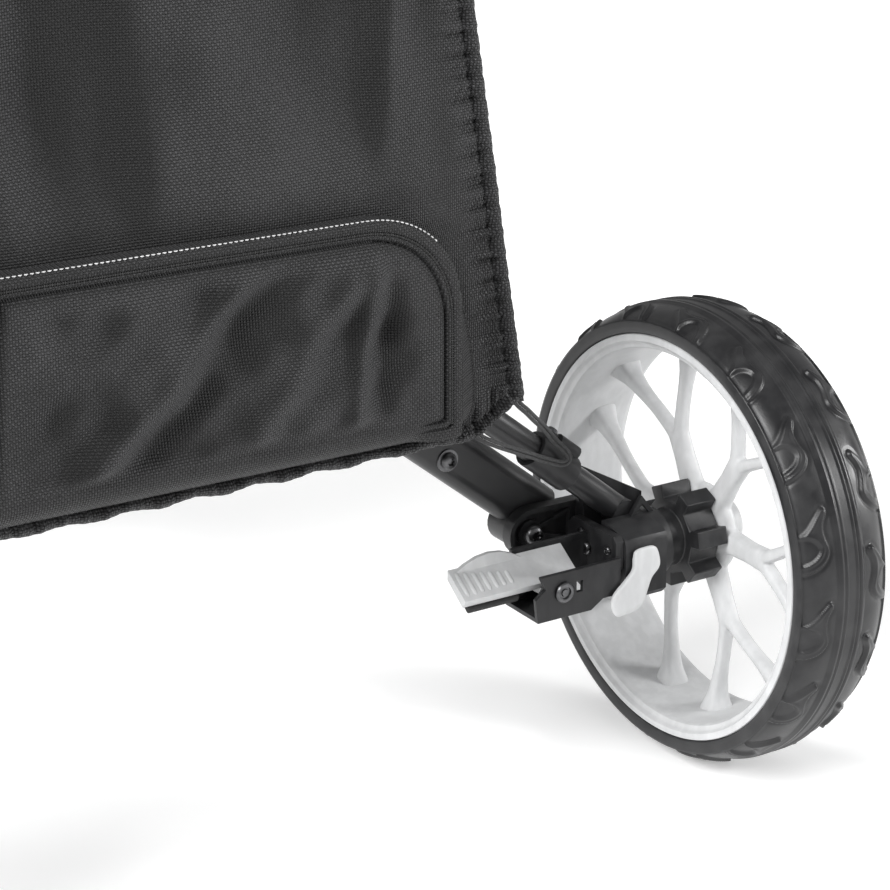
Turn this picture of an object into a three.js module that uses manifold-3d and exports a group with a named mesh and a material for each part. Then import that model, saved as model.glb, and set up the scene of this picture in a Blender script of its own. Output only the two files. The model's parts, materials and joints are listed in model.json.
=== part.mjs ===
// Golf bag strapped to a three-wheeled folding push cart, with a zipped fabric pouch hung between
// the rear legs. Units are millimetres; +Z is up, +Y points ahead, +X to the right from behind.
// Pieces are placed from the point on the ground under the rear axles; the finished cart is moved
// back by CENTRE_Y, so its origin lies on the ground under the middle of its length.
import * as THREE from "three";
import Module from "manifold-3d";
import { mergeVertices } from "three/addons/utils/BufferGeometryUtils.js";

// ---- Driving dimensions ------------------------------------------------------------------
const CENTRE_Y = 180; // rear axle line to the middle of the length
const GAP = 0.3; // clearance between pieces that touch
const TYRE_STEPS = 48; // segments round a tyre
const ROUND_STEPS = 36; // segments of any other large round piece
const BORE_STEPS = 12; // segments of a pin, bolt or bore

const REAR_WHEEL = { radius: 146, rimRadius: 128.4, width: 64 };
const FRONT_WHEEL = { radius: 115, rimRadius: 99, width: 50 };
const REAR_WHEEL_X = 300; // inner face of the right rear wheel
const SPOKES = 6;
const AXLE_RADIUS = 6;
const RUNNING_GAP = 0.3; // round a turning shaft

// Right rear leg, in the plane across the cart; the left one is its mirror image.
const LEG_LOWER = { x: 224, z: 156.4 }; // bolt between the leg and the wheel bracket
const LEG_UPPER = { x: 45, z: 300 }; // pin between the leg and the hub
const LINK_LOWER = { x: 275, z: 168 }; // open pivot between the link and the wheel bracket
const LINK_UPPER = { x: 96, z: 311.6 }; // pin between the link and the hub
const LEG_Y = [36, 57]; // rear and front faces of the leg tube
const LINK_Y = [-0.5, 16.5]; // rear and front of the link tube
const LEG_TUBE_HEIGHT = 34;
const LEG_TUBE_OFFSET = 14; // tube centre line above the line through the two leg pivots
const LINK_RADIUS = 8.5;
const PIN_RADIUS = 3.5;
const BOLT_RADIUS = 4;

// Leaning spine and golf bag, in a frame that starts at the foot of the spine: z runs up along
// the spine and y points away from it, towards the bag.
const SPINE_FOOT = { y: 440, z: 225 };
const SPINE_LEAN = Math.PI / 4;
const SPINE_LENGTH = 800;
const SPINE_HALF = 25; // half the depth of the oval spine tube
const BAG_OFFSET = 155; // spine centre line to bag centre line
const BAG_RADIUS = 119;
const BAG_TOP = 850;

// Front fork
const FORK_PIVOT = { y: 470, z: 215 };
const FRONT_AXLE = { y: 640, z: FRONT_WHEEL.radius };

// Handle, in a frame that starts at its hinge with z along the stem
const HANDLE_PIVOT_ABOVE_SPINE = 15;
const HANDLE_TILT = THREE.MathUtils.degToRad(53.4);
const GRIP_REACH = 302.45; // hinge to grip centre line
const GRIP_RADIUS = 16;

// Rear pouch
const POUCH_Y = [-31, -9];
const POUCH_BOTTOM = 249;
const POUCH_TOP = 600;

// ---- Finishes ----------------------------------------------------------------------------
function finish(color, roughness, metalness = 0) {
  return new THREE.MeshStandardMaterial({ color, roughness, metalness });
}

const BLACK_PLASTIC = finish(0x29292b, 0.55);
const GREY_PLASTIC = finish(0xc9cacb, 0.5);
const BLACK_PAINT = finish(0x303032, 0.45, 0.3);
const STEEL = finish(0x8f9092, 0.3, 1);
const RUBBER = finish(0x2b2b2c, 0.8);
const FABRIC = finish(0x3a3a3c, 0.9);
const TRIM_FABRIC = finish(0x262628, 0.85);
const FOAM = finish(0x1d1d1e, 0.95);

// ---- Geometry helpers --------------------------------------------------------------------
const wasm = await Module();
wasm.setup();

// Turns a closed geometry into a solid that can be joined and cut.
function toSolid(geometry) {
  const bare = geometry.clone();
  bare.deleteAttribute("normal");
  bare.deleteAttribute("uv");
  const merged = mergeVertices(bare, 1e-4);
  const mesh = new wasm.Mesh({
    numProp: 3,
    vertProperties: merged.attributes.position.array,
    triVerts: new Uint32Array(merged.index.array),
  });
  return new wasm.Manifold(mesh);
}

function toGeometry(solid) {
  const mesh = solid.getMesh();
  const geometry = new THREE.BufferGeometry();
  geometry.setAttribute("position", new THREE.BufferAttribute(mesh.vertProperties, 3));
  geometry.setIndex(new THREE.BufferAttribute(mesh.triVerts, 1));
  geometry.computeVertexNormals();
  return geometry;
}

function join(...geometries) {
  return toGeometry(geometries.map(toSolid).reduce((whole, piece) => whole.add(piece)));
}

function cut(base, ...tools) {
  return toGeometry(tools.map(toSolid).reduce((whole, tool) => whole.subtract(tool), toSolid(base)));
}

function overlap(first, second) {
  return toGeometry(toSolid(first).intersect(toSolid(second)));
}

// Mirror image across the plane X = 0, with its faces still pointing out.
function mirrored(geometry) {
  const flat = geometry.index ? geometry.toNonIndexed() : geometry.clone();
  flat.scale(-1, 1, 1);
  const position = flat.attributes.position;
  const corner = new THREE.Vector3();
  const other = new THREE.Vector3();
  for (let i = 0; i < position.count; i += 3) {
    corner.fromBufferAttribute(position, i + 1);
    other.fromBufferAttribute(position, i + 2);
    position.setXYZ(i + 1, other.x, other.y, other.z);
    position.setXYZ(i + 2, corner.x, corner.y, corner.z);
  }
  flat.deleteAttribute("normal");
  flat.computeVertexNormals();
  return flat;
}

function outline(points) {
  return new THREE.Shape(points.map(([a, b]) => new THREE.Vector2(a, b)));
}

function prism(shape, depth) {
  const flat = Array.isArray(shape) ? outline(shape) : shape;
  return new THREE.ExtrudeGeometry(flat, { depth, bevelEnabled: false, curveSegments: 6 });
}

const AXIS_X = new THREE.Vector3(1, 0, 0);
const AXIS_Y = new THREE.Vector3(0, 1, 0);
const AXIS_Z = new THREE.Vector3(0, 0, 1);

// An outline in (y, z) drawn out along X, in (x, z) along Y, or in (x, y) along Z.
function alongX(shape, from, to) {
  const turn = new THREE.Matrix4().makeBasis(AXIS_Y, AXIS_Z, AXIS_X);
  return prism(shape, to - from).applyMatrix4(turn).translate(from, 0, 0);
}

function alongY(shape, from, to) {
  const turn = new THREE.Matrix4().makeBasis(AXIS_X, AXIS_Z, AXIS_Y.clone().negate());
  return prism(shape, to - from).applyMatrix4(turn).translate(0, to, 0);
}

function alongZ(shape, from, to) {
  return prism(shape, to - from).translate(0, 0, from);
}

function block([x0, x1], [y0, y1], [z0, z1]) {
  const box = new THREE.BoxGeometry(x1 - x0, y1 - y0, z1 - z0);
  return box.translate((x0 + x1) / 2, (y0 + y1) / 2, (z0 + z1) / 2);
}

function rod(from, to, radius, steps = BORE_STEPS) {
  const start = new THREE.Vector3(...from);
  const end = new THREE.Vector3(...to);
  const direction = end.clone().sub(start);
  const geometry = new THREE.CylinderGeometry(radius, radius, direction.length(), steps);
  const turn = new THREE.Quaternion().setFromUnitVectors(AXIS_Y, direction.normalize());
  const middle = start.add(end).multiplyScalar(0.5);
  return geometry.applyQuaternion(turn).translate(middle.x, middle.y, middle.z);
}

// A profile of (radius, distance) turned about the X axis; a ring's profile closes on itself.
function turnedX(profile, steps = ROUND_STEPS) {
  const points = profile.map(([radius, x]) => new THREE.Vector2(radius, x));
  if (THREE.ShapeUtils.area(points) < 0) {
    points.reverse();
  }
  if (points.every((point) => point.x > 0)) {
    points.push(points[0].clone());
  }
  return new THREE.LatheGeometry(points, steps).rotateZ(-Math.PI / 2);
}

// The same about the Z axis.
function turnedZ(profile, steps = ROUND_STEPS) {
  return turnedX(profile, steps).rotateY(-Math.PI / 2);
}

// A round tube along a smooth curve through the points.
function tube(points, radius, steps, sides = 12) {
  const path = new THREE.CatmullRomCurve3(points.map((point) => new THREE.Vector3(...point)));
  const section = new THREE.Shape();
  section.absarc(0, 0, radius, 0, Math.PI * 2);
  return new THREE.ExtrudeGeometry(section, {
    extrudePath: path,
    steps,
    curveSegments: sides / 2,
    bevelEnabled: false,
  });
}

// Outline of a bar with round ends of two radii, between two points.
function roundEndedBar([ax, ay], [bx, by], startRadius, endRadius) {
  const angle = Math.atan2(by - ay, bx - ax);
  const shape = new THREE.Shape();
  shape.absarc(ax, ay, startRadius, angle + Math.PI / 2, angle + Math.PI * 1.5, false);
  shape.absarc(bx, by, endRadius, angle - Math.PI / 2, angle + Math.PI / 2, false);
  shape.closePath();
  return shape;
}

// Outline of a rectangle with rounded corners, centred on the origin.
function roundedRectangle(width, height, radius) {
  const x = width / 2 - radius;
  const y = height / 2 - radius;
  const shape = new THREE.Shape();
  shape.absarc(x, y, radius, 0, Math.PI / 2);
  shape.absarc(-x, y, radius, Math.PI / 2, Math.PI);
  shape.absarc(-x, -y, radius, Math.PI, Math.PI * 1.5);
  shape.absarc(x, -y, radius, Math.PI * 1.5, Math.PI * 2);
  shape.closePath();
  return shape;
}

// Outline of part of a ring between two angles, in degrees.
function ringSector(inner, outer, fromDegrees, toDegrees) {
  const from = THREE.MathUtils.degToRad(fromDegrees);
  const to = THREE.MathUtils.degToRad(toDegrees);
  const shape = new THREE.Shape();
  shape.absarc(0, 0, outer, from, to, false);
  shape.absarc(0, 0, inner, to, from, true);
  shape.closePath();
  return shape;
}

function polar(radius, degrees) {
  const angle = THREE.MathUtils.degToRad(degrees);
  return [radius * Math.cos(angle), radius * Math.sin(angle)];
}

// ---- Scene graph helpers -----------------------------------------------------------------
const cart = new THREE.Group();
cart.position.y = -CENTRE_Y;

function add(name, geometry, material, parent = cart, place = [0, 0, 0]) {
  const mesh = new THREE.Mesh(geometry, material);
  mesh.name = name;
  mesh.position.set(...place);
  parent.add(mesh);
}

function addPair(name, geometry, material, [x, y, z] = [0, 0, 0]) {
  add(`${name}_right`, geometry, material, cart, [x, y, z]);
  add(`${name}_left`, mirrored(geometry), material, cart, [-x, y, z]);
}

// ---- Wheels ------------------------------------------------------------------------------
// A wheel lies about the X axis, from x = 0 at its inner face to x = width.

function tyre({ radius, rimRadius, width }) {
  const bead = rimRadius + GAP;
  const shoulder = radius - 9;
  return turnedX([
    [bead, 0], [shoulder, 0], [radius - 3.5, 7], [radius - 0.6, width * 0.31], [radius, width / 2],
    [radius - 0.6, width * 0.69], [radius - 3.5, width - 7], [shoulder, width], [bead, width],
  ], TYRE_STEPS);
}

// Window inside the fork of one spoke, and window between two spokes, at a middle angle.
function forkWindow(rimRadius, middle) {
  const reach = rimRadius - 13;
  return [
    polar(rimRadius * 0.5, middle),
    polar(reach, middle - 13),
    polar(reach + 1, middle),
    polar(reach, middle + 13),
  ];
}

function gapWindow(rimRadius, middle) {
  const reach = rimRadius - 13;
  const waist = rimRadius * 0.46;
  return [
    polar(rimRadius * 0.34, middle),
    polar(waist, middle - 19),
    polar(rimRadius * 0.68, middle - 13.5),
    polar(reach, middle - 8),
    polar(reach + 1, middle),
    polar(reach, middle + 8),
    polar(rimRadius * 0.68, middle + 13.5),
    polar(waist, middle + 19),
  ];
}

function rim({ rimRadius, width }, plate, hub, boreRadius) {
  const lip = rimRadius - 4.4;
  const inner = rimRadius - 9.4;
  const barrel = turnedX([
    [inner, 4], [lip, 0], [rimRadius, 0], [rimRadius, width], [lip, width], [inner, width - 4],
  ]);
  const disc = new THREE.Shape();
  disc.absarc(0, 0, rimRadius - 6, 0, Math.PI * 2);
  for (let i = 0; i < SPOKES; i += 1) {
    const middle = 2 + (360 / SPOKES) * i;
    disc.holes.push(new THREE.Path(outline(forkWindow(rimRadius, middle)).getPoints()));
    const between = middle + 180 / SPOKES;
    disc.holes.push(new THREE.Path(outline(gapWindow(rimRadius, between)).getPoints()));
  }
  const spokes = new THREE.ExtrudeGeometry(disc, {
    depth: plate[1] - plate[0],
    bevelEnabled: false,
    curveSegments: ROUND_STEPS / 2,
  });
  spokes.applyMatrix4(new THREE.Matrix4().makeBasis(AXIS_Y, AXIS_Z, AXIS_X));
  spokes.translate(plate[0], 0, 0);
  const boss = rod([hub[0], 0, 0], [hub[1], 0, 0], 20, 24);
  const bore = rod([hub[0] - 1, 0, 0], [hub[1] + 1, 0, 0], boreRadius);
  return cut(join(barrel, spokes, boss), bore);
}

const GEAR_TEETH = 7;
const GEAR_ROOT_RADIUS = 24;
const GEAR_TIP_RADIUS = 32.5;

// Toothed brake wheel on the hub, with a plain boss towards the bracket.
function brakeGear() {
  const shape = new THREE.Shape();
  for (let i = 0; i < GEAR_TEETH; i += 1) {
    const middle = 65 + (360 / GEAR_TEETH) * i;
    const corners = [
      polar(GEAR_ROOT_RADIUS, middle - 12),
      polar(GEAR_TIP_RADIUS, middle - 10),
      polar(GEAR_TIP_RADIUS, middle + 10),
      polar(GEAR_ROOT_RADIUS, middle + 12),
    ];
    corners.forEach(([y, z], j) => {
      if (i === 0 && j === 0) {
        shape.moveTo(y, z);
      } else {
        shape.lineTo(y, z);
      }
    });
  }
  shape.closePath();
  const bore = rod([-10, 0, 0], [40, 0, 0], AXLE_RADIUS + RUNNING_GAP);
  return cut(join(alongX(shape, 8, 30), rod([-3.5, 0, 0], [9, 0, 0], 18, 24)), bore);
}

// ---- Wheel bracket, pedal and release tab ------------------------------------------------
// These lie in a frame at the right rear axle: x outboard from the wheel's inner face.
const LEG_PIVOT = [LEG_LOWER.x - REAR_WHEEL_X, LEG_LOWER.z - REAR_WHEEL.radius];
const LINK_PIVOT = [LINK_LOWER.x - REAR_WHEEL_X, LINK_LOWER.z - REAR_WHEEL.radius];
const BRACKET_X = [-44, -13];
const EAR_Y = [27, 35];
const EAR_RADIUS = 16;
const PEDAL_PIVOT = [-89.8, -5.4];

function wheelBracket() {
  const housing = alongX([
    [-27, -20], [-23, -24], [23, -24], [27, -20], [27, 26.5], [-20, 18.7], [-25, 16.5], [-27, 12.5],
  ], ...BRACKET_X);
  const boss = rod([-14, 0, 0], [-4, 0, 0], 22, 24);

  const ear = new THREE.Shape();
  ear.absarc(...LEG_PIVOT, EAR_RADIUS, Math.PI / 2, Math.PI * 1.4, false);
  ear.lineTo(-46, -20);
  ear.lineTo(-20, -20);
  ear.lineTo(-20, 26);
  ear.closePath();
  const recess = new THREE.Shape();
  recess.absarc(...LEG_PIVOT, EAR_RADIUS - 3, Math.PI / 2, Math.PI * 1.4, false);
  recess.lineTo(-48, -15);
  recess.lineTo(-48, 22.5);
  recess.closePath();
  const pivotBoss = rod([LEG_PIVOT[0], 28, LEG_PIVOT[1]], [LEG_PIVOT[0], 32, LEG_PIVOT[1]], 8.5);
  const ribs = [[-46, 21], [-46, 1]].map((end) => alongY(roundEndedBar(LEG_PIVOT, end, 1.2, 1.2), 28, 32));
  const earPlate = cut(alongY(ear, EAR_Y[0] - 0.5, EAR_Y[1]), alongY(recess, 20, 30.5));

  const hood = alongY([[-43, 18], [-49, 46], [-45, 51], [0, 26], [0, 14], [-14, 10]], 17.5, 21.5);
  const rib = alongY([[-26, 15], [-26, 19], [-16, 33], [-4.5, 18], [-4.5, 15]], -4.5, -1.5);
  const ribWindow = alongY([[-20.5, 21.2], [-16, 27.8], [-10, 21.2]], -6, 0);

  const slot = block([-60, -15.5], [-1.2, 17.2], [10.5, 70]);
  const axleBore = rod([-50, 0, 0], [0, 0, 0], AXLE_RADIUS + RUNNING_GAP);
  const boltBore = rod([LEG_PIVOT[0], 20, LEG_PIVOT[1]], [LEG_PIVOT[0], 40, LEG_PIVOT[1]], BOLT_RADIUS + GAP);
  const linkPin = rod([LINK_PIVOT[0], 0.5, LINK_PIVOT[1]], [LINK_PIVOT[0], 19, LINK_PIVOT[1]], PIN_RADIUS);

  const shell = join(housing, boss, earPlate, pivotBoss, ...ribs, hood, cut(rib, ribWindow));
  return join(cut(shell, slot, axleBore, boltBore), linkPin);
}

// Trough bolted to the bracket's inner side, which carries the brake pedal.
function pedalArm() {
  const flange = alongX([
    [-25, -1], [-4, -26], [0, -27], [25, -20], [25, 14], [20, 19], [-22, 19], [-25, 16],
  ], -50, -44.4);
  const trough = alongX([
    [-27.5, -22], [7, -22], [7, 14], [4, 14], [4, -19], [-24.5, -19], [-24.5, 6.8], [-27.5, 6.8],
  ], -110, -48);
  const side = [
    [-48, 14], [-106, 14], [-106, 5.6], [-102.5, -1.6], [-109.6, -6.8], [-108, -22], [-86, -22.5],
    [-70, -22.5], [-60.5, -16.3], [-48, -16.3],
  ];
  const pinBore = rod([PEDAL_PIVOT[0], -40, PEDAL_PIVOT[1]], [PEDAL_PIVOT[0], 20, PEDAL_PIVOT[1]], 3.3);
  const squareHole = alongY([[-80.3, -8], [-75.8, -8], [-75.8, -1], [-80.3, -0.4]], -30, -20);
  return cut(join(overlap(trough, alongY(side, -40, 20)), flange), pinBore, squareHole);
}

// Tilted treadle with a low arch along its ahead edge and a hinge lug below.
function brakePedal() {
  const tread = alongX([
    [-23.8, -6.5], [-23.8, -11.5], [-20, -11.5], [3.4, 5.2], [3.4, 11.5],
  ], -152, -71);
  const arch = new THREE.Shape();
  arch.moveTo(-150.5, 8);
  arch.quadraticCurveTo(-124, 27, -99, 8);
  arch.closePath();
  const lug = block([-96, -84], [-23.8, 3.4], [-11.5, -1]);
  const pinBore = rod([PEDAL_PIVOT[0], -40, PEDAL_PIVOT[1]], [PEDAL_PIVOT[0], 20, PEDAL_PIVOT[1]], 3.3);
  return cut(join(tread, alongY(arch, 0.4, 3.4), lug), pinBore);
}

function pedalSole() {
  return alongX([[-19.2, -11.4], [-16.5, -15.2], [3, -1], [3, 4.4]], -148, -112);
}

function pedalPin() {
  const shank = rod([0, -29, 0], [0, 9.5, 0], 3);
  return join(shank, rod([0, -30.2, 0], [0, -27.8, 0], 6.4), rod([0, 7.3, 0], [0, 10, 0], 5));
}

// Bent paddle that frees the wheel; its hinge line runs across its top.
function wheelRelease() {
  return alongY([
    [-41, 10.5], [-24.2, 12], [-21.3, 6], [-20.5, -2.7], [-27.9, -8.5], [-30.8, -16], [-33.7, -25],
    [-39, -28.4], [-53.6, -29.4], [-57.5, -20.5], [-56, -14.5], [-40.4, -1.5], [-39.6, 5],
  ], -32.4, -28.2);
}

function legPivotBolt() {
  const shank = rod([0, 23, 0], [0, 62, 0], BOLT_RADIUS);
  const head = rod([0, 22.5, 0], [0, 27.6, 0], 6.5);
  const recess = rod([0, 20, 0], [0, 25, 0], 3.2, 6);
  const nut = rod([0, LEG_Y[1] + GAP, 0], [0, 62.5, 0], 7, 6);
  return cut(join(shank, head, nut), recess);
}

// ---- Legs --------------------------------------------------------------------------------
const LEG_SPAN = Math.hypot(LEG_LOWER.x - LEG_UPPER.x, LEG_UPPER.z - LEG_LOWER.z);
const LEG_SLOPE = Math.atan2(LEG_UPPER.z - LEG_LOWER.z, LEG_LOWER.x - LEG_UPPER.x);

// Leg in a frame at its upper pivot, before it is sloped: x runs outboard along the pivot line.
function legTube() {
  const depth = LEG_Y[1] - LEG_Y[0];
  const section = roundedRectangle(depth, LEG_TUBE_HEIGHT, depth / 2 - 0.2);
  const bar = alongX(section, -8, LEG_SPAN + 10);
  bar.translate(0, (LEG_Y[0] + LEG_Y[1]) / 2, LEG_TUBE_OFFSET);
  const ends = [0, LEG_SPAN];
  const lugs = ends.map((x) => rod([x, LEG_Y[0] + 0.5, 0], [x, LEG_Y[1] - 0.5, 0], 13, 24));
  const bores = ends.map((x) => rod([x, 20, 0], [x, 80, 0], BOLT_RADIUS + RUNNING_GAP));
  return cut(join(bar, ...lugs), ...bores).rotateY(LEG_SLOPE);
}

function linkTube() {
  const middle = (LINK_Y[0] + LINK_Y[1]) / 2;
  const bar = rod([0, middle, 0], [LEG_SPAN, middle, 0], LINK_RADIUS, 20);
  const ends = [0, LEG_SPAN];
  const eyes = ends.map((x) => rod([x, LINK_Y[0], 0], [x, LINK_Y[1], 0], LINK_RADIUS, 20));
  const bores = ends.map((x) => rod([x, -10, 0], [x, 30, 0], PIN_RADIUS + RUNNING_GAP));
  return cut(join(bar, ...eyes), ...bores).rotateY(LEG_SLOPE);
}

// Saddle clamped round the link, with a barrel and a screw on top that hold the shock cord.
function cordClip() {
  const middle = (LINK_Y[0] + LINK_Y[1]) / 2;
  const from = LEG_SPAN - 84;
  const to = LEG_SPAN - 50;
  const saddle = rod([from, middle, 0], [to, middle, 0], LINK_RADIUS + 3, 20);
  const barrel = rod([from + 14, middle, 13], [to - 2, middle, 13], 4.5, 12);
  const screw = rod([from + 7, middle, 8], [from + 7, middle, 15.5], 5, 12);
  const bore = rod([from - 5, middle, 0], [to + 5, middle, 0], LINK_RADIUS + GAP, 20);
  return cut(join(saddle, barrel, screw), bore).rotateY(LEG_SLOPE);
}

// ---- Frame -------------------------------------------------------------------------------
function hubBlock() {
  const core = block([-25, 25], [-7.8, 64], [286, 330]);
  const linkPlates = [[-7.8, -2.3], [18.3, 34.2]].map((y) => block([-108, 108], y, [299, 324]));
  const legPlates = [[18.3, 34.2], [57.8, 64]].map((y) => block([-60, 60], y, [286, 330]));
  const pins = [-1, 1].flatMap((side) => [
    rod([side * LEG_UPPER.x, 30, LEG_UPPER.z], [side * LEG_UPPER.x, 60, LEG_UPPER.z], BOLT_RADIUS),
    rod([side * LINK_UPPER.x, -5, LINK_UPPER.z], [side * LINK_UPPER.x, 20, LINK_UPPER.z], PIN_RADIUS),
  ]);
  return join(core, ...linkPlates, ...legPlates, ...pins);
}

// Bar from the hub to the front block, a flat rectangle with chamfered edges.
function lowerStay() {
  const start = new THREE.Vector3(0, 64 + GAP, 308);
  const end = new THREE.Vector3(0, 404.9 - GAP, 208.2);
  const half = 11.5;
  const shape = [
    [start.y, start.z - half], [end.y, end.z - half], [end.y, end.z + half], [start.y, start.z + half],
  ];
  return alongX(shape, -14, 14);
}

// Height of the underside of the spine, less a gap, at a distance y ahead of the rear axles.
function spineUnderside(y) {
  return SPINE_FOOT.z + SPINE_FOOT.y - y - (SPINE_HALF + GAP) * Math.SQRT2;
}

function rearStrut() {
  const post = [14, 40];
  const shape = [
    [post[0], 330 + GAP], [post[1], 330 + GAP],
    [post[1], spineUnderside(post[1])], [post[0], spineUnderside(post[0])],
  ];
  return alongX(shape, -12, 12);
}

function hangerBar() {
  const bar = rod([-150, -2, 585], [150, -2, 585], 6);
  return join(bar, block([-14, 14], [1, 14 - GAP], [577, 593]));
}

function frontBlock() {
  const body = alongX([
    [444.5, 260.1], [404.9, 220.5], [404.9, 196], [455, 192], [476, 198], [486, 207], [486, 223],
    [476, 234],
  ], -28, 28);
  const pin = rod([-37, FORK_PIVOT.y, FORK_PIVOT.z], [37, FORK_PIVOT.y, FORK_PIVOT.z], 5);
  return join(body, pin);
}

// Two cheeks from the fold hinge to the front axle, tied by a crown behind the tyre.
function frontFork() {
  const hinge = [FORK_PIVOT.y, FORK_PIVOT.z];
  const axle = [FRONT_AXLE.y, FRONT_AXLE.z];
  const cheeks = [[28.6, 36], [-36, -28.6]].map(([from, to]) => (
    alongX(roundEndedBar(hinge, axle, 14, 13), from, to)
  ));
  const reach = Math.hypot(axle[0] - hinge[0], axle[1] - hinge[1]);
  const along = (distance) => hinge.map((start, i) => start + ((axle[i] - start) * distance) / reach);
  const crown = alongX(roundEndedBar(along(68), along(73), 6, 6), -30, 30);
  const bores = [
    rod([-50, ...hinge], [50, ...hinge], 5 + RUNNING_GAP),
    rod([-50, ...axle], [50, ...axle], 5 + RUNNING_GAP),
  ];
  return cut(join(...cheeks, crown), ...bores);
}

function frontAxle() {
  const shank = rod([-38, 0, 0], [38, 0, 0], 5);
  return join(shank, rod([-39.5, 0, 0], [-36.3, 0, 0], 9), rod([36.3, 0, 0], [39.5, 0, 0], 9));
}

// ---- Leaning group: spine, cradles and bag -----------------------------------------------
const leaning = new THREE.Group();
leaning.position.set(0, SPINE_FOOT.y, SPINE_FOOT.z);
leaning.rotation.x = SPINE_LEAN;
cart.add(leaning);

function spineTube() {
  const bar = alongZ(roundedRectangle(35, SPINE_HALF * 2, 16), 22, SPINE_LENGTH);
  const hinge = SPINE_LENGTH + HANDLE_PIVOT_ABOVE_SPINE;
  const eye = alongX(roundEndedBar([0, SPINE_LENGTH - 10], [0, hinge], 16, 16), -8, 8);
  const bore = rod([-20, 0, hinge], [20, 0, hinge], 5 + RUNNING_GAP);
  return cut(join(bar, eye), bore);
}

function lowerCradle() {
  const foot = block([-60, 60], [SPINE_HALF + GAP, 284], [22.3, 28.7]);
  const lip = block([-40, 40], [278, 284], [24, 66]);
  const heel = block([-15, 15], [SPINE_HALF + GAP, SPINE_HALF + 6], [24, 60]);
  return join(foot, lip, heel);
}

function upperCradle() {
  const saddle = alongZ(ringSector(BAG_RADIUS + 1.5, BAG_RADIUS + 9, -145, -35), 636, 676);
  saddle.translate(0, BAG_OFFSET, 0);
  const foot = block([-14, 14], [SPINE_HALF + GAP, 30], [628, 684]);
  return join(saddle, foot);
}

function bagTube() {
  const wall = 4;
  return turnedZ([
    [BAG_RADIUS - wall, 70.3], [BAG_RADIUS, 70.3], [BAG_RADIUS, BAG_TOP], [BAG_RADIUS - wall, BAG_TOP],
  ]);
}

function bagBase() {
  return turnedZ([[0, 29], [112, 29], [121, 36], [121, 62], [117, 70], [0, 70]]);
}

// Padded collar with two crossed dividers, which part the mouth into four wells.
function bagCuff() {
  const collar = turnedZ([
    [107, BAG_TOP + GAP], [122, BAG_TOP + GAP], [124, BAG_TOP + 12], [124, 900], [119, 905], [110, 905],
    [107, 900],
  ]);
  const across = block([-109, 109], [-4, 4], [BAG_TOP + 8, 896]);
  const upright = block([-4, 4], [-109, 109], [BAG_TOP + 8, 896]);
  return join(collar, across, upright);
}

function strapRing(from) {
  return turnedZ([[120, from], [123.5, from], [123.5, from + 38], [120, from + 38]], 36);
}

function bagPocket(outer, middle, halfAngle, from, to) {
  const section = ringSector(BAG_RADIUS + 0.6, outer, middle - halfAngle, middle + halfAngle);
  return alongZ(section, from, to);
}

// ---- Handle group ------------------------------------------------------------------------
const handlePivotDistance = SPINE_LENGTH + HANDLE_PIVOT_ABOVE_SPINE;
const handle = new THREE.Group();
handle.position.set(
  0,
  SPINE_FOOT.y - handlePivotDistance * Math.sin(SPINE_LEAN),
  SPINE_FOOT.z + handlePivotDistance * Math.cos(SPINE_LEAN),
);
handle.rotation.x = HANDLE_TILT;
cart.add(handle);

function handleStem() {
  const bar = alongZ(roundedRectangle(34, 24, 9), 26, 184.7);
  const cheeks = [[8.8, 15], [-15, -8.8]].map(([from, to]) => (
    alongX(roundEndedBar([0, 0], [0, 34], 14, 11.5), from, to)
  ));
  const bore = rod([-20, 0, 0], [20, 0, 0], 5 + RUNNING_GAP);
  return cut(join(bar, ...cheeks), bore);
}

function handlePin() {
  const shank = rod([-17, 0, 0], [17, 0, 0], 5);
  return join(shank, rod([-18.5, 0, 0], [-15.3, 0, 0], 8), rod([15.3, 0, 0], [18.5, 0, 0], 8));
}

function handleBow() {
  const end = GRIP_REACH - GRIP_RADIUS - GAP;
  const side = [[122, 0, end], [122, 0, 260], [115, 0, 231], [94, 0, 208], [60, 0, 198], [25, 0, 196]];
  const far = side.map(([x, y, z]) => [-x, y, z]).reverse();
  return tube([...side, ...far], 11, 26, 10);
}

function handleGrip() {
  const bar = rod([-136, 0, GRIP_REACH], [136, 0, GRIP_REACH], GRIP_RADIUS, 24);
  const caps = [[-142, -134], [134, 142]].map(([from, to]) => (
    rod([from, 0, GRIP_REACH], [to, 0, GRIP_REACH], GRIP_RADIUS - 3, 24)
  ));
  return join(bar, ...caps);
}

// Flat plate on the stem, with a lower step ahead of it that the scorecard clip lies in.
const CONSOLE_TOP = 26;
const CONSOLE_STEP = 22.7;

function consolePlate() {
  const plate = alongY(roundedRectangle(124, 126, 14), 17, CONSOLE_TOP).translate(0, 0, 150);
  const step = block([-63, 63], [CONSOLE_STEP, CONSOLE_TOP + 1], [167, 214]);
  const foot = block([-12, 12], [12 + GAP, 18], [110, 160]);
  return join(cut(plate, step), foot);
}

function scorecardClip() {
  return alongY(roundedRectangle(84, 40, 6), CONSOLE_STEP + GAP, CONSOLE_TOP - GAP).translate(0, 0, 190);
}

// ---- Rear pouch --------------------------------------------------------------------------
function rearPouch() {
  const top = [[126, POUCH_TOP], [-126, POUCH_TOP]];
  const lower = [[-177, 267], [-142, POUCH_BOTTOM], [142, POUCH_BOTTOM], [177, 267]];
  return alongY([...lower, ...top], ...POUCH_Y);
}

// Flat pocket on the lower half of the pouch: it runs into the left side seam, and its zip goes
// along the top and round the upper right corner.
function rearPocket() {
  const shape = new THREE.Shape();
  shape.moveTo(129, 258);
  shape.lineTo(129, 330);
  shape.quadraticCurveTo(126, 391, 66, 391);
  shape.lineTo(-151, 391);
  shape.lineTo(-160, 258);
  shape.closePath();
  return alongY(shape, POUCH_Y[0] - 16, POUCH_Y[0] - GAP);
}

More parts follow.
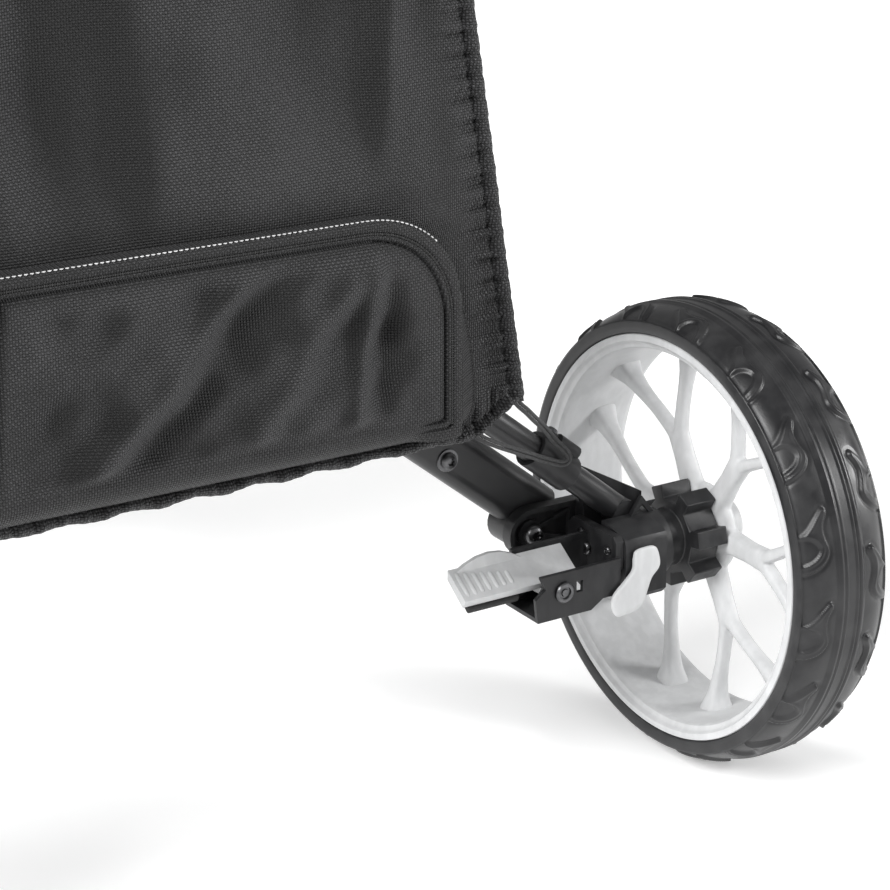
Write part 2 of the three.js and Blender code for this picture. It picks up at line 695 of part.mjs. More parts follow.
function zipSlider() {
  return alongY([[-7, -4.5], [7, -3], [7, 3], [-7, 4.5]], POUCH_Y[0] - 20, POUCH_Y[0] - 16 - GAP);
}

// Route of the right shock cord: out of the side hem, round the clip on the link and back into
// the bottom hem. It is pulled tight between them.
const CORD_RADIUS = 1.6;
const CORD_ROUTE = [
  [178.5, -24, 262],
  [186, -21.2, 256.1],
  [194, -17.8, 249.6],
  [202, -14, 242.8],
  [209.5, -9.8, 235.8],
  [216.2, -6.6, 228.8],
  [222.4, -5.8, 222.8],
  [227, -5.8, 217.4],
  [226.6, -6.2, 213.6],
  [221.5, -7.2, 213.2],
  [213, -9.4, 216.8],
  [203, -12, 221.5],
  [192, -14.8, 227],
  [179, -18.2, 233.4],
  [166, -21.5, 240],
  [152, -25, 247],
];

function shockCord() {
  return tube(CORD_ROUTE, CORD_RADIUS, 22, 8);
}

// ---- Assembly ----------------------------------------------------------------------------
const rearAxle = [REAR_WHEEL_X, 0, REAR_WHEEL.radius];
const upperLegPivot = [LEG_UPPER.x, 0, LEG_UPPER.z];
const upperLinkPivot = [LINK_UPPER.x, 0, LINK_UPPER.z];
const axle = turnedX([
  [0, -40], [AXLE_RADIUS, -40], [AXLE_RADIUS, 56.4], [9.5, 56.4], [9.5, 60], [0, 60],
], 20);
const pedalPivot = [REAR_WHEEL_X + PEDAL_PIVOT[0], 0, REAR_WHEEL.radius + PEDAL_PIVOT[1]];

add("hub_block", hubBlock(), BLACK_PLASTIC);
add("lower_stay", lowerStay(), BLACK_PAINT);
add("rear_strut", rearStrut(), BLACK_PAINT);
add("hanger_bar", hangerBar(), BLACK_PAINT);
add("front_block", frontBlock(), BLACK_PLASTIC);

add("spine_tube", spineTube(), BLACK_PAINT, leaning);
add("lower_cradle", lowerCradle(), BLACK_PLASTIC, leaning);
add("upper_cradle", upperCradle(), BLACK_PLASTIC, leaning);
const bagAxis = [0, BAG_OFFSET, 0];
add("bag_base", bagBase(), BLACK_PLASTIC, leaning, bagAxis);
add("bag_body", bagTube(), FABRIC, leaning, bagAxis);
add("bag_cuff", bagCuff(), TRIM_FABRIC, leaning, bagAxis);
add("lower_strap", strapRing(92), TRIM_FABRIC, leaning, bagAxis);
add("upper_strap", strapRing(690), TRIM_FABRIC, leaning, bagAxis);
add("bag_pocket_right", bagPocket(154, 0, 34, 190, 560), FABRIC, leaning, bagAxis);
add("bag_pocket_left", bagPocket(154, 180, 34, 190, 560), FABRIC, leaning, bagAxis);
add("bag_pocket_front", bagPocket(162, 90, 40, 160, 450), FABRIC, leaning, bagAxis);

add("rear_pouch", rearPouch(), FABRIC);
add("rear_pocket", rearPocket(), FABRIC);
add("zip_slider", zipSlider(), STEEL, cart, [-150, 0, 386]);
addPair("shock_cord", shockCord(), TRIM_FABRIC);

add("handle_stem", handleStem(), BLACK_PAINT, handle);
add("handle_pin", handlePin(), STEEL, handle);
add("handle_bow", handleBow(), BLACK_PAINT, handle);
add("handle_grip", handleGrip(), FOAM, handle);
add("console", consolePlate(), BLACK_PLASTIC, handle);
add("scorecard_clip", scorecardClip(), GREY_PLASTIC, handle);

const frontWheelPlace = [-FRONT_WHEEL.width / 2, FRONT_AXLE.y, FRONT_AXLE.z];
add("front_fork", frontFork(), BLACK_PLASTIC);
add("front_axle", frontAxle(), STEEL, cart, [0, FRONT_AXLE.y, FRONT_AXLE.z]);
add("front_rim", rim(FRONT_WHEEL, [19, 31], [3, 47], 5 + RUNNING_GAP), GREY_PLASTIC, cart, frontWheelPlace);
add("front_tyre", tyre(FRONT_WHEEL), RUBBER, cart, frontWheelPlace);

addPair("leg_tube", legTube(), BLACK_PAINT, upperLegPivot);
addPair("link_tube", linkTube(), BLACK_PAINT, upperLinkPivot);
addPair("cord_clip", cordClip(), BLACK_PLASTIC, upperLinkPivot);
addPair("wheel_bracket", wheelBracket(), BLACK_PLASTIC, rearAxle);
addPair("leg_pivot_bolt", legPivotBolt(), STEEL, [LEG_LOWER.x, 0, LEG_LOWER.z]);
addPair("pedal_arm", pedalArm(), BLACK_PLASTIC, rearAxle);
addPair("brake_pedal", brakePedal(), GREY_PLASTIC, rearAxle);
addPair("pedal_sole", pedalSole(), RUBBER, rearAxle);
addPair("pedal_pin", pedalPin(), STEEL, pedalPivot);
addPair("wheel_release", wheelRelease(), GREY_PLASTIC, rearAxle);
addPair("wheel_axle", axle, STEEL, rearAxle);
addPair("brake_gear", brakeGear(), BLACK_PLASTIC, rearAxle);
addPair("rear_rim", rim(REAR_WHEEL, [31, 43], [30.4, 56], AXLE_RADIUS + RUNNING_GAP), GREY_PLASTIC, rearAxle);
addPair("rear_tyre", tyre(REAR_WHEEL), RUBBER, rearAxle);

export default cart;
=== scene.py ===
"""Looks of a golf bag on a three-wheeled folding push cart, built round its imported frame.

Every place and size is taken from the frame: the boxes of its nodes and the places of its joints.
Lengths are in metres; the small constants marked MM are given in millimetres and multiplied by it.
"""

import json
import logging
import math
from dataclasses import dataclass
from enum import Enum
from typing import Iterable, Sequence

import bmesh
import bpy
import numpy as np
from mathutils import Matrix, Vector


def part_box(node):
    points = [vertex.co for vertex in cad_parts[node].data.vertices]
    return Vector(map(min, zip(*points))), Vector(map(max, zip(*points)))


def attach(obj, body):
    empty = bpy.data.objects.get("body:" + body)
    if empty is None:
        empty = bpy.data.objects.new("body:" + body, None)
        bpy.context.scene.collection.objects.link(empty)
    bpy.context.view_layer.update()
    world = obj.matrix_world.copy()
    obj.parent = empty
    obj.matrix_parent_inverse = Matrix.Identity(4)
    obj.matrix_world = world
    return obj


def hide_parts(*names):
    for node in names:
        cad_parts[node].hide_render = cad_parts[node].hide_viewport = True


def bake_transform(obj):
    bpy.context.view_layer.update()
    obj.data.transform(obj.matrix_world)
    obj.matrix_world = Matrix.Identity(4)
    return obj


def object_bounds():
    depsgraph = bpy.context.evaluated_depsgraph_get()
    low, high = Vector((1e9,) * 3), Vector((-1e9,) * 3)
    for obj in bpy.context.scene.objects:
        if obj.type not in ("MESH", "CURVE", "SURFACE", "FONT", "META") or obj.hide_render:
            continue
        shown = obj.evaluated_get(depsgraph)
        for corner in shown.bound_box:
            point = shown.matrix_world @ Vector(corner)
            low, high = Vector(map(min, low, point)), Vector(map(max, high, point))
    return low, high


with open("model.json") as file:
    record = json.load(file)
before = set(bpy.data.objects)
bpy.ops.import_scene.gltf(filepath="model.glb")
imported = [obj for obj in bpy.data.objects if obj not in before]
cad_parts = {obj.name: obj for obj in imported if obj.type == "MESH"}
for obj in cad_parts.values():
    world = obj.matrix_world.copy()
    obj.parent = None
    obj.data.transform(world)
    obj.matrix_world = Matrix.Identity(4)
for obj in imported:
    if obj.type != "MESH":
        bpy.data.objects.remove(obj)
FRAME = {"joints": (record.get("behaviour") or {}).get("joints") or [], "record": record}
CAD_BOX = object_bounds()

MM = 0.001
TAU = 2.0 * math.pi
SEED = 7
BAG_AXIS = 155.0  # millimetres from the lean's own line out to the bag's axis
Array = np.ndarray
Colour = tuple[float, float, float]
Object = bpy.types.Object
log = logging.getLogger("cart")


class Side(Enum):
    """The two sides of the cart; the value mirrors X."""

    RIGHT = 1
    LEFT = -1

    @property
    def word(self) -> str:
        """The side's name as it stands in node and body names."""
        return self.name.lower()


# ---- Reading the frame ---------------------------------------------------------------------


def corners(node: str) -> tuple[Array, Array]:
    """Lowest and highest corner of a CAD node, as arrays."""
    low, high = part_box(node)
    return np.array(low), np.array(high)


def middle(node: str) -> Array:
    """Centre of a CAD node's box."""
    low, high = corners(node)
    return (low + high) / 2.0


def joint_place(name: str) -> Array:
    """Point on a hinge's axis, from the record."""
    found = [joint for joint in FRAME["joints"] if joint["name"] == name]
    return np.array(found[0]["pos_m"], float)


# ---- Surfaces from arrays ------------------------------------------------------------------


def unit(vector: Array) -> Array:
    """The vector, or each row of vectors, brought to length one."""
    length = np.linalg.norm(vector, axis=-1, keepdims=True)
    return vector / np.maximum(length, 1e-12)


def travelled(points: Array) -> Array:
    """Distance travelled along a line of points, starting at zero."""
    steps = np.linalg.norm(np.diff(points, axis=0), axis=-1)
    return np.concatenate([[0.0], np.cumsum(steps)])


def mesh_object(name: str, vertices: Array, faces: Sequence[Sequence[int]]) -> Object:
    """An object with a smooth-shaded mesh of these vertices and faces.

    Args:
        name: name of the piece.
        vertices: one row per vertex, in metres.
        faces: vertex numbers of each face, counter-clockwise from outside.

    Returns:
        The new object, linked to the scene, at the origin.
    """
    mesh = bpy.data.meshes.new(name)
    mesh.from_pydata(np.asarray(vertices, float).tolist(), [], list(faces))
    mesh.polygons.foreach_set("use_smooth", np.ones(len(mesh.polygons), bool))
    mesh.update()
    piece = bpy.data.objects.new(name, mesh)
    bpy.context.scene.collection.objects.link(piece)
    return piece


def grid_piece(
    name: str,
    points: Array,
    around: bool = False,
    along: bool = False,
    caps: bool = False,
) -> Object:
    """A surface through a grid of points, with a UV map in metres.

    The point (i, j) is at row i along the surface and column j across it. U is the distance
    across and V the distance along, both averaged over the grid.

    Args:
        name: name of the piece.
        points: array of rows by columns by three.
        around: whether the last column joins the first.
        along: whether the last row joins the first.
        caps: whether the first and last rows are closed with a face each.

    Returns:
        The surface's object.
    """
    rows, columns = points.shape[:2]
    last_row = rows if along else rows - 1
    last_column = columns if around else columns - 1
    i, j = np.meshgrid(np.arange(last_row), np.arange(last_column), indexing="ij")
    i, j = i.ravel(), j.ravel()
    next_i, next_j = (i + 1) % rows, (j + 1) % columns
    quads = np.stack(
        [i * columns + j, i * columns + next_j, next_i * columns + next_j, next_i * columns + j], 1
    )
    faces = quads.tolist()
    if caps:
        faces.append(list(range(columns))[::-1])
        faces.append([(rows - 1) * columns + k for k in range(columns)])
    piece = mesh_object(name, points.reshape(-1, 3), faces)

    closed_rows = np.concatenate([points, points[:1]], 0) if along else points
    closed_columns = np.concatenate([points, points[:, :1]], 1) if around else points
    v = travelled_mean(closed_rows)
    u = travelled_mean(np.swapaxes(closed_columns, 0, 1))
    corner_u = np.stack([u[j], u[j + 1], u[j + 1], u[j]], 1).ravel()
    corner_v = np.stack([v[i], v[i], v[i + 1], v[i + 1]], 1).ravel()
    uv = np.zeros((len(piece.data.loops), 2))
    uv[: len(corner_u), 0] = corner_u
    uv[: len(corner_v), 1] = corner_v
    layer = piece.data.uv_layers.new(name="UVMap")
    layer.data.foreach_set("uv", uv.ravel())
    return piece


def travelled_mean(grid: Array) -> Array:
    """Mean distance travelled from row to row of a grid."""
    steps = np.linalg.norm(np.diff(grid, axis=0), axis=-1).mean(axis=1)
    return np.concatenate([[0.0], np.cumsum(steps)])


def face_outward(piece: Object) -> Object:
    """The closed piece with its doubles merged and all its faces turned outward."""
    work = bmesh.new()
    work.from_mesh(piece.data)
    bmesh.ops.remove_doubles(work, verts=work.verts, dist=1e-7)
    bmesh.ops.recalc_face_normals(work, faces=work.faces)
    work.to_mesh(piece.data)
    work.free()
    return piece


def capped(name: str, points: Array) -> Object:
    """A tube-like grid, joined across and closed by a face at each end."""
    return face_outward(grid_piece(name, points, around=True, caps=True))


def looped(name: str, points: Array) -> Object:
    """A ring-like grid, joined both across and along."""
    return face_outward(grid_piece(name, points, around=True, along=True))


def smooth_line(points: Iterable[Sequence[float]], count: int) -> Array:
    """Points evenly spaced on a smooth curve through the given ones.

    Each stretch is a Catmull-Rom cubic: its slope at a point is half the step between the
    point's two neighbours.

    Args:
        points: the points that the curve passes through.
        count: how many points to return.

    Returns:
        Array of count rows.
    """
    p = np.array([list(point) for point in points], float)
    q = np.concatenate([[2 * p[0] - p[1]], p, [2 * p[-1] - p[-2]]])
    t = np.linspace(0, 1, 24, endpoint=False)[:, None]
    stretches = []
    for a, b, c, d in zip(q[:-3], q[1:-2], q[2:-1], q[3:]):
        stretches.append(
            0.5 * (2 * b + (c - a) * t + (2 * a - 5 * b + 4 * c - d) * t**2 + (3 * b - a - 3 * c + d) * t**3)
        )
    fine = np.concatenate([*stretches, p[-1:]])
    return evenly(fine, count)


def evenly(line: Array, count: int) -> Array:
    """The line resampled to evenly spaced points."""
    distance = travelled(line)
    wanted = np.linspace(0, distance[-1], count)
    return np.stack([np.interp(wanted, distance, line[:, k]) for k in range(line.shape[1])], 1)


def swept(path: Array, section: Array, up: Sequence[float], scale: Array | float = 1.0) -> Array:
    """Grid of a flat section carried along a path.

    At each path point the section's second axis is the up direction less its part along the
    path, and its first axis is square to both.

    Args:
        path: the points that the section's origin passes through.
        section: points of the section, as (across, up).
        up: direction that the section's second axis keeps as near as it can.
        scale: one factor, or one per path point.

    Returns:
        Grid of path points by section points by three.
    """
    tangent = unit(np.gradient(path, axis=0))
    high = np.asarray(up, float)
    high = unit(high - (tangent @ high)[:, None] * tangent)
    across = np.cross(tangent, high)
    grown = np.broadcast_to(np.asarray(scale, float), (len(path),))[:, None, None]
    flat = section[None, :, :] * grown
    return path[:, None, :] + flat[..., :1] * across[:, None, :] + flat[..., 1:] * high[:, None, :]


def oval(width: float, height: float, count: int, square: float = 2.0) -> Array:
    """Closed oval section: a superellipse, round at power 2 and squarer above it."""
    angle = np.linspace(0, TAU, count, endpoint=False)
    c, s = np.cos(angle), np.sin(angle)
    power = 2.0 / square
    x = np.sign(c) * np.abs(c) ** power * width / 2
    y = np.sign(s) * np.abs(s) ** power * height / 2
    return np.stack([x, y], 1)


def turned(profile: Array, centre: Array, axis: Sequence[float], steps: int) -> Array:
    """Grid of a profile of (radius, distance) turned round an axis through the centre."""
    direction = unit(np.asarray(axis, float))
    helper = np.array([0.0, 0.0, 1.0]) if abs(direction[2]) < 0.9 else np.array([1.0, 0.0, 0.0])
    side = unit(np.cross(helper, direction))
    third = np.cross(direction, side)
    angle = np.linspace(0, TAU, steps, endpoint=False)
    spoke = np.cos(angle)[:, None] * side + np.sin(angle)[:, None] * third
    return (
        np.asarray(centre)
        + profile[None, :, :1] * spoke[:, None, :]
        + profile[None, :, 1:] * direction
    )


def turned_piece(
    name: str, profile: Sequence[Sequence[float]], centre: Array, axis: Sequence[float], steps: int
) -> Object:
    """Closed piece turned from a profile of (radius, distance) that closes on itself."""
    grid = turned(np.array(profile, float), centre, axis, steps)
    return looped(name, grid)


def waves(x: Array, y: Array, size: float, seed: int, count: int = 7) -> Array:
    """Smooth random field from -1 to 1: a mean of sine waves with seeded directions and lengths.

    Args:
        x: first coordinate.
        y: second coordinate.
        size: typical distance between crests.
        seed: seed of the directions, lengths and phases.
        count: number of waves.

    Returns:
        Array of the shape of x.
    """
    random = np.random.default_rng(SEED * 1000 + seed)
    total = np.zeros(np.broadcast(x, y).shape)
    for _ in range(count):
        angle, phase = random.uniform(0, TAU, 2)
        length = size * random.uniform(0.7, 1.6)
        total += np.sin(TAU / length * (x * math.cos(angle) + y * math.sin(angle)) + phase)
    return total / (0.6 * count)


def bump(x: Array, centre: float, width: float) -> Array:
    """Bell-shaped curve of height one round a centre."""
    return np.exp(-(((x - centre) / width) ** 2))


def ramp(x: Array, start: float, end: float) -> Array:
    """Smooth step from 0 at start to 1 at end."""
    t = np.clip((x - start) / (end - start), 0, 1)
    return t * t * (3 - 2 * t)


# ---- Finishes ------------------------------------------------------------------------------


class Graph:
    """A material's node tree, with short calls for adding and joining nodes."""

    def __init__(self, name: str) -> None:
        """Makes an empty material with a Principled shader and its output."""
        self.material = bpy.data.materials.new(name)
        self.material.use_nodes = True
        self.tree = self.material.node_tree
        self.tree.nodes.clear()
        self.shader = self.tree.nodes.new("ShaderNodeBsdfPrincipled")
        output = self.tree.nodes.new("ShaderNodeOutputMaterial")
        self.tree.links.new(self.shader.outputs[0], output.inputs[0])
        self.coordinates = self.tree.nodes.new("ShaderNodeTexCoord")

    def plug(self, value: object, socket: bpy.types.NodeSocket) -> None:
        """Links an output to the socket, or sets the socket to a plain value."""
        if isinstance(value, bpy.types.NodeSocket):
            self.tree.links.new(value, socket)
        else:
            socket.default_value = value

    def math(self, operation: str, first: object, second: object = 0.0) -> bpy.types.NodeSocket:
        """Output of a Math node."""
        node = self.tree.nodes.new("ShaderNodeMath")
        node.operation = operation
        self.plug(first, node.inputs[0])
        self.plug(second, node.inputs[1])
        return node.outputs[0]

    def mix(self, factor: object, low: object, high: object) -> bpy.types.NodeSocket:
        """Value between low and high, in the share given by the factor."""
        node = self.tree.nodes.new("ShaderNodeMix")
        self.plug(factor, node.inputs[0])
        self.plug(low, node.inputs[2])
        self.plug(high, node.inputs[3])
        return node.outputs[0]

    def blend_colour(self, factor: object, low: Colour, high: Colour) -> bpy.types.NodeSocket:
        """Colour between two colours, in the share given by the factor."""
        node = self.tree.nodes.new("ShaderNodeMix")
        node.data_type = "RGBA"
        self.plug(factor, node.inputs[0])
        self.plug((*low, 1.0), node.inputs[6])
        self.plug((*high, 1.0), node.inputs[7])
        return node.outputs[2]

    def noise(
        self, scale: float, detail: float = 3.0, stretch: Sequence[float] | None = None
    ) -> bpy.types.NodeSocket:
        """Noise on the object's own coordinates, from about 0.3 to 0.7; scale is per metre."""
        node = self.tree.nodes.new("ShaderNodeTexNoise")
        source = self.coordinates.outputs["Object"]
        if stretch is not None:
            mapping = self.tree.nodes.new("ShaderNodeMapping")
            mapping.inputs["Scale"].default_value = stretch
            self.tree.links.new(source, mapping.inputs["Vector"])
            source = mapping.outputs[0]
        self.tree.links.new(source, node.inputs["Vector"])
        node.inputs["Scale"].default_value = scale
        node.inputs["Detail"].default_value = detail
        return node.outputs["Fac"]

    def range(
        self, value: object, low: float, high: float, out_low: float = 0.0, out_high: float = 1.0
    ) -> bpy.types.NodeSocket:
        """Value moved from one range to another and held inside it."""
        node = self.tree.nodes.new("ShaderNodeMapRange")
        self.plug(value, node.inputs["Value"])
        node.inputs["From Min"].default_value = low
        node.inputs["From Max"].default_value = high
        node.inputs["To Min"].default_value = out_low
        node.inputs["To Max"].default_value = out_high
        return node.outputs[0]

    def uv(self) -> tuple[bpy.types.NodeSocket, bpy.types.NodeSocket]:
        """The two UV coordinates, in metres on the surface."""
        node = self.tree.nodes.new("ShaderNodeSeparateXYZ")
        self.tree.links.new(self.coordinates.outputs["UV"], node.inputs[0])
        return node.outputs[0], node.outputs[1]

    def relief(self, height: object, depth: float, under: object = None) -> bpy.types.NodeSocket:
        """Normal from a height of 0 to 1 that stands for a depth in metres."""
        node = self.tree.nodes.new("ShaderNodeBump")
        node.inputs["Distance"].default_value = depth
        self.plug(height, node.inputs["Height"])
        if under is not None:
            self.plug(under, node.inputs["Normal"])
        return node.outputs[0]

    def set(self, **sockets: object) -> None:
        """Sets or links the shader's sockets, named with _ for a space."""
        for name, value in sockets.items():
            self.plug(value, self.shader.inputs[name.replace("_", " ")])


@dataclass(frozen=True)
class Moulded:
    """Moulded plastic: a fine grain, a slow mottle and a roughness that varies a little."""

    name: str
    dark: Colour
    light: Colour
    roughness: float
    grain: float = 0.00003
    grain_scale: float = 2600.0

    def make(self) -> bpy.types.Material:
        """The finish as a material."""
        g = Graph(self.name)
        mottle = g.range(g.noise(38.0, 4.0), 0.35, 0.65)
        fine = g.noise(self.grain_scale, 2.0)
        scuffs = g.range(g.noise(150.0, 6.0, (1.0, 1.0, 0.35)), 0.42, 0.62)
        rough = g.mix(scuffs, self.roughness - 0.05, self.roughness + 0.09)
        g.set(
            Base_Color=g.blend_colour(
                g.math("MULTIPLY", g.math("ADD", mottle, scuffs), 0.5), self.dark, self.light
            ),
            Roughness=rough,
            Normal=g.relief(fine, self.grain, g.relief(mottle, 0.00005)),
        )
        g.shader.inputs["Specular IOR Level"].default_value = 0.35
        return g.material


@dataclass(frozen=True)
class Painted:
    """Powder-coated tube: a soft orange-peel surface over metal."""

    name: str
    dark: Colour
    light: Colour
    roughness: float

    def make(self) -> bpy.types.Material:
        """The finish as a material."""
        g = Graph(self.name)
        peel = g.noise(1500.0, 2.0)
        slow = g.range(g.noise(24.0, 3.0), 0.35, 0.65)
        g.set(
            Base_Color=g.blend_colour(slow, self.dark, self.light),
            Roughness=g.mix(slow, self.roughness - 0.04, self.roughness + 0.06),
            Normal=g.relief(peel, 0.00006),
        )
        g.shader.inputs["Specular IOR Level"].default_value = 0.35
        g.shader.inputs["Coat Weight"].default_value = 0.12
        g.shader.inputs["Coat Roughness"].default_value = 0.35
        return g.material


@dataclass(frozen=True)
class Plated:
    """Zinc-plated steel with faint turning marks."""

    name: str
    dark: Colour
    light: Colour
    roughness: float

    def make(self) -> bpy.types.Material:
        """The finish as a material."""
        g = Graph(self.name)
        marks = g.noise(900.0, 4.0, (1.0, 0.15, 1.0))
        slow = g.range(g.noise(120.0, 4.0), 0.3, 0.7)
        g.shader.inputs["Metallic"].default_value = 1.0
        g.set(
            Base_Color=g.blend_colour(slow, self.dark, self.light),
            Roughness=g.mix(slow, self.roughness - 0.06, self.roughness + 0.1),
            Normal=g.relief(marks, 0.00002),
        )
        return g.material


@dataclass(frozen=True)
class Rubber:
    """Matte rubber with a fine cast grain and dusty high spots."""

    name: str
    dark: Colour
    light: Colour
    roughness: float

    def make(self) -> bpy.types.Material:
        """The finish as a material."""
        g = Graph(self.name)
        dust = g.range(g.noise(60.0, 5.0), 0.4, 0.66)
        fine = g.noise(1900.0, 3.0)
        g.set(
            Base_Color=g.blend_colour(dust, self.dark, self.light),
            Roughness=g.mix(dust, self.roughness - 0.06, self.roughness + 0.06),
            Normal=g.relief(fine, 0.00005),
        )
        g.shader.inputs["Specular IOR Level"].default_value = 0.4
        return g.material


@dataclass(frozen=True)
class Weave:
    """Plain-woven cloth of thick yarns, on the piece's own UV map.

    Each square of the weave shows either a warp yarn or a weft yarn. A yarn's height across it is
    half a sine wave, and along it a shallower one, so that it dips where it goes under. The crest
    attribute holds painted light and shade: it makes the yarns paler on the top of a fold and darker
    in its valley.
    """

    name: str
    dark: Colour
    light: Colour
    pitch: float
    depth: float
    roughness: float = 0.52
    sheen: float = 0.04

    def make(self) -> bpy.types.Material:
        """The finish as a material."""
        g = Graph(self.name)
        u, v = g.uv()
        x = g.math("DIVIDE", u, self.pitch)
        y = g.math("DIVIDE", v, self.pitch)
        arch_x = g.math("SINE", g.math("MULTIPLY", g.math("FRACT", x), math.pi))
        arch_y = g.math("SINE", g.math("MULTIPLY", g.math("FRACT", y), math.pi))
        both = g.math("ADD", g.math("FLOOR", x), g.math("FLOOR", y))
        warp = g.math("GREATER_THAN", g.math("FRACT", g.math("MULTIPLY", both, 0.5)), 0.25)
        dip_x = g.range(arch_x, 0.0, 1.0, 0.5, 1.0)
        dip_y = g.range(arch_y, 0.0, 1.0, 0.5, 1.0)
        warp_height = g.math("MULTIPLY", g.math("POWER", arch_x, 0.6), dip_y)
        weft_height = g.math("MULTIPLY", g.math("POWER", arch_y, 0.6), dip_x)
        height = g.mix(warp, weft_height, warp_height)
        slubs = g.range(g.noise(420.0, 3.0), 0.35, 0.65)
        # painted shade: the colour darkens where a yarn dips under its neighbour, and one yarn direction is
        # painted darker as if it caught less light
        lit = g.math("MULTIPLY", g.math("POWER", height, 1.5), g.mix(warp, 0.42, 1.0))
        lit = g.math("MULTIPLY", lit, g.mix(slubs, 0.7, 1.15))
        slow = g.range(g.noise(16.0, 3.0), 0.35, 0.65)
        lit = g.math("MULTIPLY", lit, g.mix(slow, 0.85, 1.1))
        # painted light and shade of the folds, read from the mesh: paler on their tops and on slopes turned
        # to the lamp, darker in their valleys
        crest = g.tree.nodes.new("ShaderNodeAttribute")
        crest.attribute_name = "crest"
        lit = g.math("MULTIPLY", lit, g.math("ADD", crest.outputs["Fac"], 1.0))
        g.set(
            Base_Color=g.blend_colour(lit, self.dark, self.light),
            Roughness=g.mix(lit, self.roughness + 0.1, self.roughness - 0.08),
            Normal=g.relief(height, self.depth),
        )
        g.shader.inputs["Specular IOR Level"].default_value = 0.34
        g.shader.inputs["Sheen Weight"].default_value = self.sheen
        g.shader.inputs["Sheen Roughness"].default_value = 0.45
        return g.material


class Lay(Enum):
    """Which way the ribs of a ribbed textile run."""

    ALONG = 0
    ACROSS = 1
    BRAID = 2


@dataclass(frozen=True)
class Ribbed:
    """Webbing, zip tape or braided cord: ribs along, across or crossing at a slant."""

    name: str
    dark: Colour
    light: Colour
    pitch: float
    depth: float
    lay: Lay

    def make(self) -> bpy.types.Material:
        """The finish as a material."""
        g = Graph(self.name)
        u, v = g.uv()
        if self.lay is Lay.BRAID:
            first = g.math("SINE", g.math("MULTIPLY", g.math("ADD", u, v), TAU / self.pitch))
            second = g.math("SINE", g.math("MULTIPLY", g.math("SUBTRACT", u, v), TAU / self.pitch))
            height = g.range(g.math("MULTIPLY", first, second), -1.0, 1.0)
        else:
            value = u if self.lay is Lay.ALONG else v
            other = v if self.lay is Lay.ALONG else u
            rib = g.math("ABSOLUTE", g.math("SINE", g.math("MULTIPLY", value, math.pi / self.pitch)))
            tick = g.math("SINE", g.math("MULTIPLY", other, TAU / self.pitch))
            height = g.math("MULTIPLY", rib, g.range(tick, -1.0, 1.0, 0.7, 1.0))
        slubs = g.range(g.noise(500.0, 3.0), 0.35, 0.65)
        # painted shade: the colour darkens in the valleys between the ribs
        lit = g.math("MULTIPLY", height, g.mix(slubs, 0.7, 1.1))
        g.set(
            Base_Color=g.blend_colour(lit, self.dark, self.light),
            Roughness=g.mix(lit, 0.85, 0.65),
            Normal=g.relief(height, self.depth),
        )
        g.shader.inputs["Specular IOR Level"].default_value = 0.3
        g.shader.inputs["Sheen Weight"].default_value = 0.04
        return g.material


@dataclass(frozen=True)
class Foam:
    """Foam grip or spacer mesh: open cells a millimetre or two across."""

    name: str
    dark: Colour
    light: Colour
    cells: float
    depth: float

    def make(self) -> bpy.types.Material:
        """The finish as a material."""
        g = Graph(self.name)
        cells = g.tree.nodes.new("ShaderNodeTexVoronoi")
        g.tree.links.new(g.coordinates.outputs["Object"], cells.inputs["Vector"])
        cells.inputs["Scale"].default_value = self.cells
        height = g.range(cells.outputs["Distance"], 0.05, 0.6, 1.0, 0.0)
        slow = g.range(g.noise(40.0, 3.0), 0.35, 0.65)
        # painted shade: the base colour set below darkens into each open cell's pit
        g.set(
            Base_Color=g.blend_colour(
                g.math("MULTIPLY", height, g.mix(slow, 0.7, 1.0)), self.light, self.dark
            ),
            Roughness=g.mix(slow, 0.82, 0.95),
            Normal=g.relief(height, -self.depth),
        )
        return g.material


@dataclass(frozen=True)
class Glossless:
    """Plain matte sheet for the floor, lit a little from within so that its shadows stay pale."""

    name: str
    colour: Colour
    glow: float = 0.26

    def make(self) -> bpy.types.Material:
        """The finish as a material."""
        g = Graph(self.name)
        slow = g.noise(3.0, 2.0)
        g.set(
            Base_Color=g.blend_colour(slow, self.colour, self.colour),
            Roughness=g.mix(slow, 0.9, 1.0),
        )
        g.shader.inputs["Emission Color"].default_value = (1.0, 1.0, 1.0, 1.0)
        g.shader.inputs["Emission Strength"].default_value = self.glow
        return g.material


